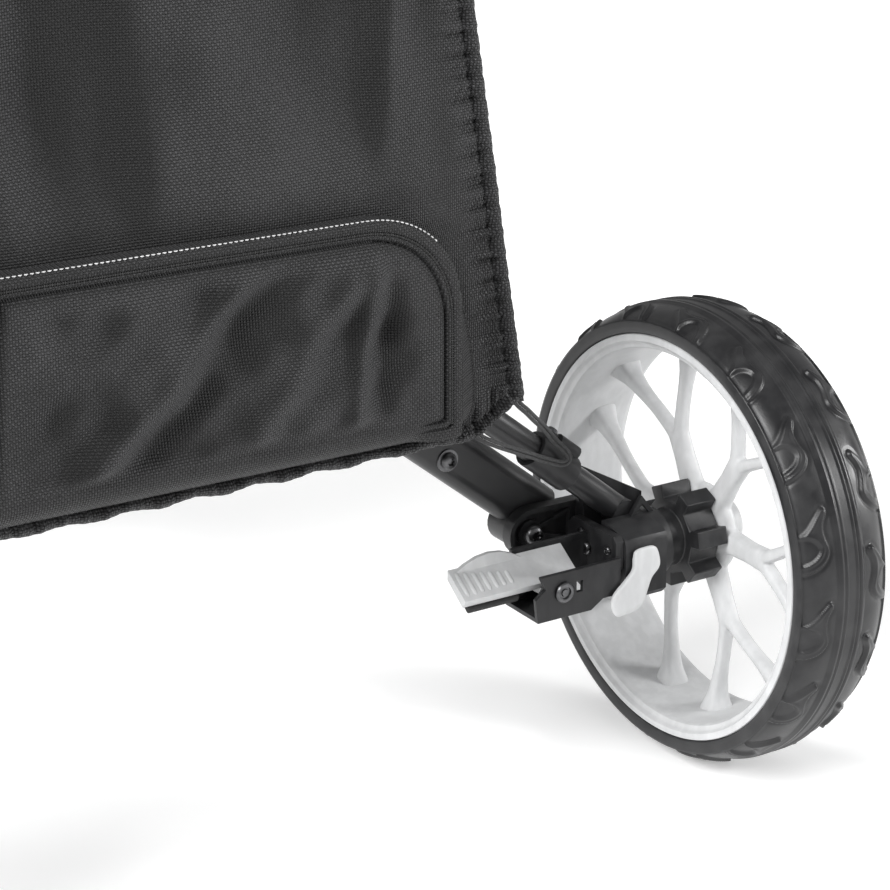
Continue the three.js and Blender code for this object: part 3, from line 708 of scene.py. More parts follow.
class Look(Enum):
    """Every finish on the cart, with the record's material slot that it stands for."""

    MOULDED = (Moulded("moulded_black", (0.010, 0.010, 0.011), (0.026, 0.026, 0.027), 0.42), "black_plastic")
    GREY = (Moulded("moulded_grey", (0.47, 0.475, 0.48), (0.56, 0.565, 0.57), 0.42, 0.000015), "grey_plastic")
    PAINT = (Painted("powder_coat", (0.010, 0.010, 0.011), (0.022, 0.022, 0.023), 0.34), "frame_paint")
    ZINC = (Plated("zinc_plate", (0.30, 0.30, 0.31), (0.50, 0.50, 0.51), 0.3), "steel")
    DARK_STEEL = (Plated("blackened_steel", (0.07, 0.07, 0.072), (0.16, 0.16, 0.165), 0.32), "steel")
    TYRE = (Rubber("tyre_tread", (0.010, 0.010, 0.011), (0.024, 0.024, 0.025), 0.38), "tyre_rubber")
    SOLE = (Rubber("sole_rubber", (0.008, 0.008, 0.009), (0.018, 0.018, 0.019), 0.6), "sole_rubber")
    CLOTH = (Weave("pouch_cloth", (0.0, 0.0, 0.0), (0.050, 0.050, 0.052), 0.0015, 0.001), "pouch_fabric")
    BAG = (Weave("bag_cloth", (0.001, 0.001, 0.001), (0.040, 0.040, 0.041), 0.0016, 0.0006), "bag_fabric")
    GUSSET = (
        Ribbed("ribbed_gusset", (0.002, 0.002, 0.002), (0.020, 0.020, 0.021), 0.0016, 0.0006, Lay.ACROSS),
        "pouch_fabric",
    )
    TAPE = (
        Ribbed("zip_tape", (0.006, 0.006, 0.006), (0.05, 0.05, 0.05), 0.0012, 0.0003, Lay.ACROSS),
        "pouch_fabric",
    )
    WEBBING = (
        Ribbed("strap_webbing", (0.008, 0.008, 0.008), (0.06, 0.06, 0.062), 0.0022, 0.0004, Lay.ALONG),
        "webbing",
    )
    CORD = (
        Ribbed("braided_cord", (0.01, 0.01, 0.01), (0.085, 0.085, 0.087), 0.0014, 0.0002, Lay.BRAID), "cord"
    )
    THREAD = (Moulded("light_thread", (0.5, 0.5, 0.5), (0.7, 0.7, 0.7), 0.6), "pouch_fabric")
    FOAM = (Foam("foam_grip", (0.01, 0.01, 0.01), (0.035, 0.035, 0.036), 900.0, 0.0003), "grip_foam")
    MESH = (Foam("spacer_mesh", (0.008, 0.008, 0.008), (0.05, 0.05, 0.052), 420.0, 0.0006), "webbing")
    FLOOR = (Glossless("pale_floor", (0.86, 0.86, 0.86)), "")

    @property
    def slot(self) -> str:
        """The record's material slot."""
        return self.value[1]

    def material(self) -> bpy.types.Material:
        """The look's material, made when it is first asked for."""
        name = self.value[0].name
        return bpy.data.materials.get(name) or self.value[0].make()


BODY_OF = {
    node: body for body, nodes in FRAME["record"]["behaviour"]["bodies"].items() for node in nodes
}
SHARP = math.radians(35.0)


def dress(piece: Object, look: Look, body: str, replaced: Sequence[str] = ()) -> Object:
    """Gives a piece its finish, the body it rides on and the CAD nodes it stands for.

    Args:
        piece: the finished piece.
        look: its finish.
        body: name of the body it moves with, or nothing to leave the piece on no body.
        replaced: CAD nodes that it replaces.

    Returns:
        The same piece.
    """
    piece.data.materials.clear()
    piece.data.materials.append(look.material())
    if body:
        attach(piece, body)
    if replaced:
        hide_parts(*replaced)
    log.info("%s on %s", piece.name, body or "two bodies")
    return piece


def sharpen(piece: Object, angle: float = SHARP) -> Object:
    """Shades the piece smooth, with its edges over the angle left sharp."""
    piece.data.polygons.foreach_set("use_smooth", np.ones(len(piece.data.polygons), bool))
    piece.data.set_sharp_from_angle(angle=angle)
    return piece


def modifier(piece: Object, kind: str, **settings: object) -> bpy.types.Modifier:
    """Adds a modifier with these settings."""
    added = piece.modifiers.new(kind.title(), kind)
    for name, value in settings.items():
        setattr(added, name, value)
    return added


def applied(piece: Object) -> Object:
    """The piece with its modifiers worked into its mesh."""
    graph = bpy.context.evaluated_depsgraph_get()
    mesh = bpy.data.meshes.new_from_object(piece.evaluated_get(graph))
    piece.modifiers.clear()
    piece.data = mesh
    return piece


def moulding(node: str, look: Look, bevel: float = 0.8, steps: int = 2) -> Object:
    """A CAD node's solid with rounded edges and its own finish.

    Args:
        node: the CAD node, which the new piece replaces.
        look: finish of the piece.
        bevel: width of the rounded edges, in millimetres.
        steps: segments of each rounded edge.

    Returns:
        The finished piece.
    """
    work = bmesh.new()
    work.from_mesh(bpy.data.objects[node].data)
    bmesh.ops.remove_doubles(work, verts=work.verts, dist=2e-6)
    bmesh.ops.dissolve_limit(work, angle_limit=math.radians(0.8), verts=work.verts, edges=work.edges)
    mesh = bpy.data.meshes.new(f"{node}_shape")
    work.to_mesh(mesh)
    work.free()
    piece = bpy.data.objects.new(f"{node}_shape", mesh)
    bpy.context.scene.collection.objects.link(piece)
    sharpen(piece)
    modifier(
        piece, "BEVEL", width=bevel * MM, segments=steps, limit_method="ANGLE", angle_limit=SHARP,
        harden_normals=True,
    )
    return dress(piece, look, BODY_OF[node], [node])


def trimmed(piece: Object, place: Array, way: Sequence[float]) -> Object:
    """The piece cut flat at a place, with all that lies beyond it that way taken off."""
    work = bmesh.new()
    work.from_mesh(piece.data)
    geometry = [*work.verts, *work.edges, *work.faces]
    cut = bmesh.ops.bisect_plane(work, geom=geometry, plane_co=place, plane_no=way, clear_outer=True)
    edges = [part for part in cut["geom_cut"] if isinstance(part, bmesh.types.BMEdge)]
    bmesh.ops.contextual_create(work, geom=edges)
    bmesh.ops.recalc_face_normals(work, faces=work.faces)
    work.to_mesh(piece.data)
    work.free()
    return sharpen(piece)


def crested(piece: Object, height: Array) -> Object:
    """Writes painted light and shade for each point of the grid, from -1 for shade to 1 for light."""
    values = np.zeros(len(piece.data.vertices), np.float32)
    flat = np.asarray(height, np.float32).ravel()
    values[: len(flat)] = flat
    layer = piece.data.attributes.new("crest", "FLOAT", "POINT")
    layer.data.foreach_set("value", values)
    return piece


def joined(name: str, pieces: Sequence[Object]) -> Object:
    """One object of all the pieces' meshes, with their UV maps kept."""
    work = bmesh.new()
    for piece in pieces:
        work.from_mesh(piece.data)
        old = piece.data
        bpy.data.objects.remove(piece)
        bpy.data.meshes.remove(old)
    mesh = bpy.data.meshes.new(name)
    work.to_mesh(mesh)
    work.free()
    whole = bpy.data.objects.new(name, mesh)
    bpy.context.scene.collection.objects.link(whole)
    return whole


def melted(piece: Object, voxel: float, smoothing: int) -> Object:
    """The piece's parts run together into one skin, with small fillets where they meet."""
    modifier(piece, "REMESH", mode="VOXEL", voxel_size=voxel * MM, use_smooth_shade=True)
    modifier(piece, "SMOOTH", factor=0.5, iterations=smoothing)
    return applied(piece)


def flat_map(piece: Object, first: int = 0, second: int = 2) -> Object:
    """Sets the UV map to two of the piece's coordinates, for flat cloth."""
    mesh = piece.data
    layer = mesh.uv_layers.get("UVMap") or mesh.uv_layers.new(name="UVMap")
    place = np.empty(len(mesh.vertices) * 3)
    mesh.vertices.foreach_get("co", place)
    corner = np.empty(len(mesh.loops), int)
    mesh.loops.foreach_get("vertex_index", corner)
    layer.data.foreach_set("uv", place.reshape(-1, 3)[corner][:, [first, second]].ravel())
    return piece


def capped_tube(
    name: str, path: Array, section: Array, up: Sequence[float], scale: Array | float = 1.0
) -> Object:
    """Closed tube of a section along a path, with a face at each end."""
    return capped(name, swept(path, section, up, scale))


def screw(name: str, place: Array, axis: Sequence[float], radius: float, washer: float = 0.0) -> Object:
    """Pan-head screw with a six-lobed recess, its head's seat at the place.

    The head's profile is a low dome, and the recess's radius swells and shrinks six times round.

    Args:
        name: name of the piece.
        place: centre of the head's seat.
        axis: direction that the head points in.
        radius: radius of the head, in metres.
        washer: radius of a washer face under it, or 0.

    Returns:
        The screw's object.
    """
    r = radius
    profile = [
        (0.0, 0.35 * r), (0.36 * r, 0.35 * r), (0.42 * r, 0.62 * r), (0.46 * r, 0.7 * r), (0.7 * r, 0.64 * r),
        (0.88 * r, 0.5 * r), (0.98 * r, 0.3 * r), (r, 0.16 * r), (r, 0.0),
    ]
    if washer:
        profile = [(a, b + 0.2 * r) for a, b in profile]
        profile += [(washer * 0.96, 0.2 * r), (washer, 0.1 * r), (washer, -0.1 * r)]
    profile.append((0.0, -0.1 * r))
    steps = 48
    grid = turned(np.array(profile), place, axis, steps)
    lobes = 1.0 + 0.16 * np.cos(6.0 * np.linspace(0, TAU, steps, endpoint=False))
    direction = unit(np.asarray(axis, float))
    for ring in (1, 2):
        flat = grid[:, ring] - place
        along = (flat @ direction)[:, None] * direction
        grid[:, ring] = place + along + (flat - along) * lobes[:, None]
    return sharpen(looped(name, grid))


# ---- Stage ---------------------------------------------------------------------------------


@dataclass
class Studio:
    """Camera, pale floor and soft lights."""

    eye: tuple[float, float, float] = (-0.5625, -1.295, 0.7123)
    turn: float = math.radians(32.37)
    dip: float = math.radians(19.78)
    lens: float = 98.71
    floor_size: float = 90.0

    def camera(self) -> None:
        """A long lens from behind and left of the cart, turned right and dipped to the wheel."""
        data = bpy.data.cameras.new("camera")
        data.lens = self.lens
        data.sensor_width = 36.0
        data.clip_end = 200.0
        camera = bpy.data.objects.new("camera", data)
        camera.location = self.eye
        camera.rotation_euler = (math.pi / 2 - self.dip, 0.0, -self.turn)
        bpy.context.scene.collection.objects.link(camera)
        bpy.context.scene.camera = camera

    def floor(self) -> None:
        """A plain sheet under the wheels."""
        half = self.floor_size / 2
        low = CAD_BOX[0][2] - 0.0005
        corners_xy = [(-half, -half), (half, -half), (half, half), (-half, half)]
        sheet = mesh_object("floor", np.array([(x, y, low) for x, y in corners_xy]), [(0, 1, 2, 3)])
        sheet.data.materials.append(Look.FLOOR.material())

    def lights(self) -> None:
        """A dim even surround, a broad sun from the upper left and two soft lamps."""
        world = bpy.data.worlds.new("surround")
        world.use_nodes = True
        background = world.node_tree.nodes["Background"]
        background.inputs[0].default_value = (1.0, 1.0, 1.0, 1.0)
        background.inputs[1].default_value = 0.42
        bpy.context.scene.world = world
        self.sun((-0.95, -0.28, 0.85), 3.7)
        self.lamp("side", (2.6, -1.7, 1.2), 0.8, 60.0)
        self.lamp("edge", (-2.2, 1.8, 1.9), 0.9, 30.0)

    def sun(self, source: tuple[float, float, float], strength: float) -> None:
        """A sun with a wide disc, so that its shadows are soft."""
        data = bpy.data.lights.new("sun", "SUN")
        data.energy = strength
        data.angle = math.radians(34.0)
        sun = bpy.data.objects.new("sun", data)
        sun.rotation_euler = Vector(source).to_track_quat("Z", "Y").to_euler()
        bpy.context.scene.collection.objects.link(sun)

    def lamp(self, name: str, place: tuple[float, float, float], size: float, power: float) -> None:
        """A square lamp that looks at the middle of the cart."""
        data = bpy.data.lights.new(name, "AREA")
        data.size = size
        data.energy = power
        lamp = bpy.data.objects.new(name, data)
        lamp.location = place
        target = Vector((0.05, -0.05, 0.35))
        lamp.rotation_euler = (target - Vector(place)).to_track_quat("-Z", "Y").to_euler()
        bpy.context.scene.collection.objects.link(lamp)

    def build(self) -> None:
        """Sets the stage."""
        bpy.context.scene.view_settings.view_transform = "Standard"
        self.camera()
        self.floor()
        self.lights()


# ---- Wheels --------------------------------------------------------------------------------


def polygon_distance(points: Array, polygon: Array) -> Array:
    """Signed distance from points to a closed polygon, negative inside.

    The distance is the least to any edge, and a point is inside if a ray from it crosses the
    edges an odd number of times.
    """
    a, b = polygon, np.roll(polygon, -1, axis=0)
    p = points[..., None, :]
    edge = b - a
    share = np.clip(((p - a) * edge).sum(-1) / (edge**2).sum(-1), 0, 1)
    away = np.linalg.norm(p - (a + share[..., None] * edge), axis=-1).min(-1)
    y = p[..., 1]
    crosses = (a[:, 1] > y) != (b[:, 1] > y)
    run = np.where(np.abs(edge[:, 1]) < 1e-9, 1e-9, edge[:, 1])
    hit = p[..., 0] < a[:, 0] + (y - a[:, 1]) / run * edge[:, 0]
    inside = (crosses & hit).sum(-1) % 2 == 1
    return np.where(inside, -away, away)


@dataclass
class Wheel:
    """A spoked wheel: moulded tyre, rim barrel and a spider of six forked spokes.

    Lengths are in millimetres. A place on the wheel is an angle from ahead upwards, a radius, and
    a distance outboard from the wheel's inner face.
    """

    tyre_node: str
    rim_node: str
    body: str
    outboard: int = 1
    motifs: int = 16
    plate: tuple[float, float] = (30.5, 42.5)
    hub: tuple[float, float] = (30.4, 56.0)
    bore: float = 6.3
    spokes: int = 6
    relief: float = 2.0

    def __post_init__(self) -> None:
        """Reads the wheel's place and size off its tyre and rim."""
        low, high = corners(self.tyre_node)
        rim_low, rim_high = corners(self.rim_node)
        self.centre = (low + high) / 2
        self.centre[0] = low[0] if self.outboard > 0 else high[0]
        self.radius = (high[2] - low[2]) / 2 / MM
        self.rim_radius = (rim_high[2] - rim_low[2]) / 2 / MM
        self.width = (high[0] - low[0]) / MM

    def place(self, angle: Array, radius: Array, out: Array) -> Array:
        """Points from angles, radii and distances outboard."""
        angle, radius, out = np.broadcast_arrays(angle, radius, out)
        return self.centre + MM * np.stack(
            [self.outboard * out, radius * np.cos(angle), radius * np.sin(angle)], -1
        )

    def motif(self, along: Array, out: Array) -> Array:
        """Height of one shoulder block: a hooked band round a hollow, open to the sidewall."""
        points = np.stack(np.broadcast_arrays(along, out), -1)
        outer = smooth_line(
            [(-1.0, -3.0), (-6.5, 5.0), (-14.5, 11.5), (-19.0, 16.2), (-16.0, 18.0), (-9.5, 14.6),
                 (-2.0, 14.4),
             (6.5, 16.6), (13.0, 13.4), (17.5, 7.0), (21.0, -3.0)], 44
        )
        hollow = smooth_line(
            [(0.0, -3.0), (-2.6, 2.0), (-1.0, 8.0), (4.5, 11.2), (10.0, 8.2), (13.6, 2.0), (15.0, -3.0)], 30
        )
        rim = polygon_distance(points, outer)
        hole = polygon_distance(points, hollow)
        band = 1.0 - ramp(rim, -0.7, 0.5)
        recess = 1.0 - ramp(hole, -0.5, 0.7)
        ridge = bump(rim, -1.3, 0.9) + bump(hole, 1.3, 0.9)
        return band * (1.0 - recess) * (0.72 + 0.28 * ridge) - 0.22 * bump(rim, 1.4, 1.1)

    def tread(self, angle: Array, out: Array) -> Array:
        """Relief of the tread from 0 to 1: shoulder blocks, and fine bands round the middle."""
        pitch = TAU / self.motifs
        share = self.width / 64.0
        reach = pitch * self.radius
        first = math.radians(95.3)
        near = ((angle - first) / pitch + 0.5) % 1.0 - 0.5
        far = ((angle - first) / pitch) % 1.0 - 0.5
        scale = reach / 57.0
        blocks = self.motif(near * reach / scale, out / share)
        blocks = blocks + self.motif(far * reach / scale, (self.width - out) / share)
        bands = 0.0 * out
        for start, end in ((23.0, 25.4), (26.8, 28.0), (35.0, 36.2), (37.6, 40.0)):
            bands = bands + ramp(out / share, start, start + 0.6) * (1 - ramp(out / share, end, end + 0.6))
        plateau = ramp(out / share, 21.0, 22.5) * (1 - ramp(out / share, 40.5, 42.0))
        return np.clip(blocks + 0.45 * plateau + 0.4 * bands, -0.25, 1)

    def tyre(self) -> Object:
        """The tyre: the crown falls away from its middle with the 3.8th power of the distance."""
        samples = 64 if self.radius > 130 else 60
        angle = np.linspace(0, TAU, self.motifs * samples, endpoint=False)[:, None]
        half = self.width / 2
        out = np.linspace(0.35, self.width - 0.35, 84)
        out = half + (out - half) * (0.82 + 0.18 * np.abs((out - half) / half))
        out = (out - out[0]) / (out[-1] - out[0]) * (self.width - 0.7) + 0.35
        crown = self.radius - 9.0 * np.abs(1.0 - out / half) ** 3.8
        groove = bump(out, 1.3, 0.7) + bump(out, self.width - 1.3, 0.7)
        height = self.tread(angle, out[None, :])
        edge = np.minimum(out, self.width - out)
        sunk = self.relief * (1 - height) * ramp(edge, 0.8, 2.2)
        surface = crown - sunk - 1.3 * groove
        bead = self.rim_radius + 0.35
        wall = np.array([bead, bead + 1.2, self.radius - 13.0, self.radius - 10.2])
        wall_out = np.array([0.6, 0.0, 0.0, 0.1])
        radius = np.concatenate(
            [np.broadcast_to(wall, (len(angle), 4)), surface, np.broadcast_to(wall[::-1], (len(angle), 4))], 1
        )
        across = np.concatenate([wall_out, out, self.width - wall_out[::-1]])
        grid = self.place(angle, radius, across[None, :])
        piece = grid_piece(f"{self.tyre_node}_tread", grid, around=True, along=True)
        return dress(face_outward(piece), Look.TYRE, self.body, [self.tyre_node])

    def barrel(self) -> Object:
        """The rim's barrel: a thin wall that thickens to a rolled lip at each edge."""
        r, w = self.rim_radius, self.width
        lip = [
            (r, 1.0), (r - 0.5, 0.2), (r - 1.4, 0.0), (r - 4.2, 0.0), (r - 4.8, 0.5), (r - 5.4, 2.2),
            (r - 6.6, 3.2),
            (r - 8.6, 3.6), (r - 9.3, 4.6), (r - 9.8, 8.0), (r - 10.4, 20.0),
        ]
        far = [(a, w - b) for a, b in reversed(lip)]
        profile = np.array(lip + far)
        angle = np.linspace(0, TAU, 192, endpoint=False)[:, None]
        grid = self.place(angle, profile[None, :, 0], profile[None, :, 1])
        piece = sharpen(looped(f"{self.rim_node}_barrel", grid), 0.6)
        return dress(piece, Look.GREY, self.body, [self.rim_node])

    def arm(self, middle: float, line: Sequence[tuple[float, float]], width: Array, depth: Array) -> Object:
        """One arm of the spider, swept along points of (radius, angle in degrees)."""
        points = smooth_line(line, 26)
        path = self.place(np.radians(middle + points[:, 1]), points[:, 0], sum(self.plate) / 2)
        stations = np.linspace(0, 1, len(width))
        share = np.linspace(0, 1, len(path))
        across = np.interp(share, stations, width)[:, None]
        deep = np.interp(share, stations, depth)[:, None]
        flat = oval(1.0, 1.0, 28, 3.4)
        tangent = unit(np.gradient(path, axis=0))
        axle = np.array([1.0, 0.0, 0.0])
        side = np.cross(tangent, axle)
        pinch = 1.0 - 0.16 * (-self.outboard * flat[None, :, 1])
        grid = (
            path[:, None, :]
            + (MM * across * flat[None, :, 0] * pinch)[..., None] * side[:, None, :]
            + (MM * deep * flat[None, :, 1])[..., None] * axle
        )
        return capped("arm", grid)

    def spider(self) -> Object:
        """Hub and six forked spokes, run together with rounded roots."""
        r = self.rim_radius
        k = r / 128.4
        start, end = self.hub
        low, high = self.plate
        profile = [
            (self.bore, start), (18.5, start), (21.0, start + 1.5), (25.0 * k, low + 3.5),
            (29.0 * k, low + 5.0),
            (29.0 * k, high - 2.0), (22.0, high + 1.0), (18.0, high + 4.0), (16.0, end - 1.0), (15.0, end),
            (self.bore, end),
        ]
        ring = np.array(profile)
        angle = np.linspace(0, TAU, 96, endpoint=False)[:, None]
        grid = self.place(angle, ring[None, :, 0], ring[None, :, 1])
        parts = [looped("hub", grid)]
        thick = high - low
        for i in range(self.spokes):
            middle = 2.0 + 360.0 / self.spokes * i
            trunk = [(14 * k, 0.0), (30 * k, 0.0), (46 * k, 0.0), (62 * k, 0.0)]
            parts.append(
                self.arm(
                    middle, trunk, np.array([20, 15, 13.0, 15.5]) * k,
                    thick * np.array([1.15, 1.0, 0.92, 0.8])
                )
            )
            for way in (-1.0, 1.0):
                fork = [
                    (44 * k, 0.0), (60 * k, 2.6 * way), (76 * k, 8.6 * way), (94 * k, 14.2 * way),
                    (110 * k, 17.4 * way), (r - 7.0, 18.8 * way),
                ]
                width = np.array([8.0, 8.4, 8.0, 7.4, 7.4, 8.6, 11.5, 20.0]) * k
                depth = thick * np.array([0.8, 0.8, 0.76, 0.74, 0.76, 0.86, 1.1, 1.8])
                parts.append(self.arm(middle, fork, width, depth))
        whole = melted(joined(f"{self.rim_node}_spokes", parts), 1.25, 7)
        return dress(whole, Look.GREY, self.body)

    def build(self) -> None:
        """Makes the wheel's pieces."""
        self.tyre()
        self.barrel()
        self.spider()


# ---- Wheel brackets and legs ---------------------------------------------------------------


@dataclass
class Corner:
    """One rear corner: leg and link tubes, wheel bracket, brake pedal, release tab and cords.

    Places are worked out for the right side, in millimetres from the rear axle at the wheel's
    inner face, and mirrored for the left.
    """

    side: Side
    pedal_ribs: int = 7
    tread_way: tuple[float, float, float] = (0.0, -0.833, -0.553)
    strand: float = 1.15
    route: tuple[tuple[float, float, float], ...] = (
        (172.5, -20.5, 272), (180.5, -21.5, 262), (187, -20.6, 256.1), (194, -17.8, 249.6),
        (202, -14, 242.8), (209.5, -9.8, 235.8),
        (216.2, -6.6, 228.8), (222.4, -5.8, 222.8), (227, -5.8, 217.4), (226.6, -6.2, 213.6),
        (221.5, -7.2, 213.2), (213, -9.4, 216.8), (203, -12, 221.5), (192, -14.8, 227), (179, -18.2, 233.4),
        (166, -21.5, 240), (154, -22.5, 247), (146, -21.0, 255),
    )

    def __post_init__(self) -> None:
        """Reads the axle and the pivots off the frame's joints."""
        word = self.side.word
        self.axle = self.mirror(joint_place(f"rear_wheel_spin_{word}"))
        self.leg_top = self.mirror(joint_place(f"leg_fold_{word}"))
        self.leg_foot = self.mirror(joint_place(f"bracket_level_{word}"))
        self.link_top = self.mirror(joint_place(f"link_fold_{word}"))
        self.link_foot = self.link_top + self.leg_foot - self.leg_top

    def mirror(self, points: Array) -> Array:
        """Points of the right side for this side, or back."""
        return np.asarray(points, float) * np.array([self.side.value, 1.0, 1.0])

    def name(self, word: str) -> str:
        """A piece's name with its side."""
        return f"{word}_{self.side.word}"

    def at(self, x: float, y: float, z: float) -> Array:
        """A place given in millimetres from the axle, on this side."""
        return self.mirror(self.axle + MM * np.array([x, y, z]))

    def mouldings(self) -> None:
        """The bracket, the pedal's arm, the brake gear, the cord clip and the leg, with rounded edges."""
        moulding(self.name("wheel_bracket"), Look.MOULDED, 0.7, 3)
        moulding(self.name("pedal_arm"), Look.MOULDED, 0.7, 3)
        moulding(self.name("brake_gear"), Look.MOULDED, 0.9, 3)
        moulding(self.name("cord_clip"), Look.MOULDED, 0.6)
        moulding(self.name("leg_tube"), Look.PAINT, 0.9, 3)

    def link(self) -> None:
        """Round link tube with a flattened eye at each end."""
        low, high = self.mirror(self.link_foot), self.mirror(self.link_top)
        radius = 8.5 * MM
        length = float(np.linalg.norm(high - low))
        bar = turned_piece("bar", [(0, 0), (radius, 0), (radius, length), (0, length)], low, high - low, 64)
        eyes = [
            turned_piece(
                "eye", [(0, -8.5 * MM), (radius, -8.5 * MM), (radius, 8.5 * MM), (0, 8.5 * MM)], end,
                (0, 1, 0), 48
            )
            for end in (low, high)
        ]
        tube = sharpen(joined(self.name("link_bar"), [bar, *eyes]))
        dress(tube, Look.PAINT, self.name("link"), [self.name("link_tube")])
        place = high + np.array([0, -8.6 * MM, 0])
        pin = screw(self.name("link_screw"), place, (0, -1, 0), 5.4 * MM, 6.2 * MM)
        dress(pin, Look.DARK_STEEL, self.name("link"))

    def bolts(self) -> None:
        """Bolts and screws of the leg, the bracket and the pedal."""
        bracket, leg = self.name("bracket"), self.name("leg")
        slope = unit(self.leg_foot - self.leg_top)
        rise = np.array([-slope[2], 0.0, slope[0]])
        rise = rise if rise[2] > 0 else -rise
        face = self.leg_foot[1] - 10.5 * MM
        seat = self.leg_foot - slope * 78 * MM + rise * 9 * MM
        bolt = screw(
            self.name("leg_bolt"), self.mirror([seat[0], face, seat[2]]), (0, -1, 0), 5.2 * MM, 7.2 * MM
        )
        dress(bolt, Look.DARK_STEEL, leg)

        pivot = middle(self.name("leg_pivot_bolt"))
        low = corners(self.name("leg_pivot_bolt"))[0]
        head = screw(
            self.name("leg_pivot_head"), np.array([pivot[0], low[1] + 3.0 * MM, pivot[2]]), (0, -1, 0),
            6.4 * MM
        )
        shank = turned_piece(
            self.name("leg_pivot_shank"),
            [
                (0, 0.0045), (0.004, 0.0045), (0.004, 0.0348), (0.0068, 0.0348), (0.0068, 0.0392),
                (0.006, 0.04), (0, 0.04)
            ],
            np.array([pivot[0], low[1], pivot[2]]), (0, 1, 0), 36,
        )
        dress(head, Look.DARK_STEEL, bracket, [self.name("leg_pivot_bolt")])
        dress(sharpen(shank), Look.ZINC, bracket)

        inward = (-self.side.value, 0, 0)
        for i, (y, z, r) in enumerate(
            ((10.0, 11.0, 3.6), (4.6, 3.5, 4.4), (-17.0, 9.0, 2.8), (13.0, -12.0, 3.0))
        ):
            piece = screw(self.name(f"flange_screw_{i}"), self.at(-50.2, y, z), inward, r * MM)
            dress(piece, Look.DARK_STEEL, bracket)
        clip_screw = screw(
            self.name("clip_screw"), self.clip_place(-77.0, 15.4), self.mirror(self.rise()), 3.6 * MM
        )
        dress(clip_screw, Look.DARK_STEEL, self.name("link"))

    def rise(self) -> Array:
        """Direction square to the link, upwards, on the right side."""
        slope = unit(self.link_foot - self.link_top)
        return np.array([-slope[2], 0.0, slope[0]])

    def clip_place(self, along: float, up: float) -> Array:
        """A place on the link, from its lower pivot and from its centre line, on this side."""
        slope = unit(self.link_foot - self.link_top)
        return self.mirror(self.link_foot + MM * (along * slope + up * self.rise()))

    def pedal_pin(self) -> None:
        """Pin of the pedal with a ringed head."""
        node = self.name("pedal_pin")
        low, high = corners(node)
        centre = (low + high) / 2
        length = high[1] - low[1]
        profile = [
            (0, 0.0006), (0.0022, 0.0006), (0.0026, 0.0014), (0.0034, 0.0014), (0.0038, 0.0003),
            (0.0046, 0.0),
            (0.0058, 0.0002), (0.0064, 0.0010), (0.0064, 0.0024), (0.003, 0.0024), (0.003, length - 0.0027),
            (0.005, length - 0.0027), (0.005, length - 0.0006), (0.0044, length), (0, length),
        ]
        pin = turned_piece(
            self.name("pedal_rivet"), profile, np.array([centre[0], low[1], centre[2]]), (0, 1, 0), 48
        )
        dress(sharpen(pin), Look.DARK_STEEL, self.name("bracket"), [node])

    def pedal(self) -> None:
        """Light treadle with rounded edges and raised ribs across its inboard end."""
        trimmed(
            moulding(self.name("brake_pedal"), Look.GREY, 1.1, 3), self.at(0, -16.5, -1.7), self.tread_way
        )
        trimmed(
            moulding(self.name("pedal_sole"), Look.SOLE, 1.2, 3), self.at(0, -12.0, -12.2), self.tread_way
        )
        rear, front = np.array([-15.8, -1.3]), np.array([3.0, 11.2])
        bars = []
        for i in range(self.pedal_ribs):
            x = -148.0 + 5.3 * i
            reach = np.linspace(0.1 + 0.012 * i, 0.9 - 0.05 * i, 18)[:, None]
            spot = rear + reach * (front - rear)
            path = np.stack([np.full(18, x), spot[:, 0], spot[:, 1] + 0.1], 1)
            path = np.array([self.at(*point) for point in path])
            swell = np.sqrt(np.clip(1 - np.linspace(-1, 1, 18) ** 6, 0.02, 1))
            grid = swept(path, oval(3.0 * MM, 2.0 * MM, 14), (0, -0.55, 0.84), swell)
            bars.append(capped("rib", grid))
        dress(joined(self.name("pedal_ribs"), bars), Look.GREY, self.name("pedal"))

    def release(self) -> None:
        """Bent paddle: an S outline whose faces crown gently and whose foot swings rearward."""
        node = self.name("wheel_release")
        low, high = corners(node)
        outline = smooth_line(
            [(-40.6, 6), (-39, 10.6), (-32, 11.6), (-24.8, 10.6), (-21.6, 4), (-21.4, -2.7), (-26.8, -8.5),
             (-30.2, -16), (-33.4, -24), (-39, -27.8), (-46, -28.8), (-53.0, -28.6), (-56.6, -21.5),
             (-55.2, -14.8),
             (-47.0, -7.6), (-41.2, -1.5), (-40.6, 6)], 97
        )[:-1]
        heart = np.array([-35.5, -7.0])
        shrink = np.array([0.03, 0.4, 0.8, 0.93, 0.98, 1.0, 1.0, 0.98, 0.93, 0.8, 0.4, 0.03])
        depth = np.array([-1.9, -1.9, -1.8, -1.6, -1.1, -0.6, 0.6, 1.1, 1.6, 1.8, 1.9, 1.9])
        flat = heart + (outline[None] - heart) * shrink[:, None, None]
        bend = 1.6 * ramp(-flat[..., 1], 4.0, 26.0) - 0.6
        y = (
            (low[1] + high[1]) / 2 / MM - self.axle[1] / MM + np.broadcast_to(depth[:, None], bend.shape)
            - bend * 0.5
        )
        grid = np.stack([flat[..., 0], y, flat[..., 1]], -1) * MM + self.axle
        piece = capped(self.name("release_paddle"), self.mirror(grid))
        dress(piece, Look.GREY, self.name("release"), [node])

    def axle_pin(self) -> None:
        """Wheel axle with a domed outer cap."""
        node = self.name("wheel_axle")
        low, high = corners(node)
        length = high[0] - low[0]
        start = np.array([low[0] if self.side.value > 0 else high[0], *self.mirror(self.axle)[1:]])
        profile = [
            (0, 0), (0.0054, 0), (0.006, 0.0006), (0.006, length - 0.0036), (0.0095, length - 0.0036),
            (0.0095, length - 0.0012), (0.0082, length - 0.0002), (0.004, length), (0, length),
        ]
        pin = turned_piece(self.name("axle_pin"), profile, start, (self.side.value, 0, 0), 48)
        dress(sharpen(pin), Look.ZINC, self.name("wheel"), [node])

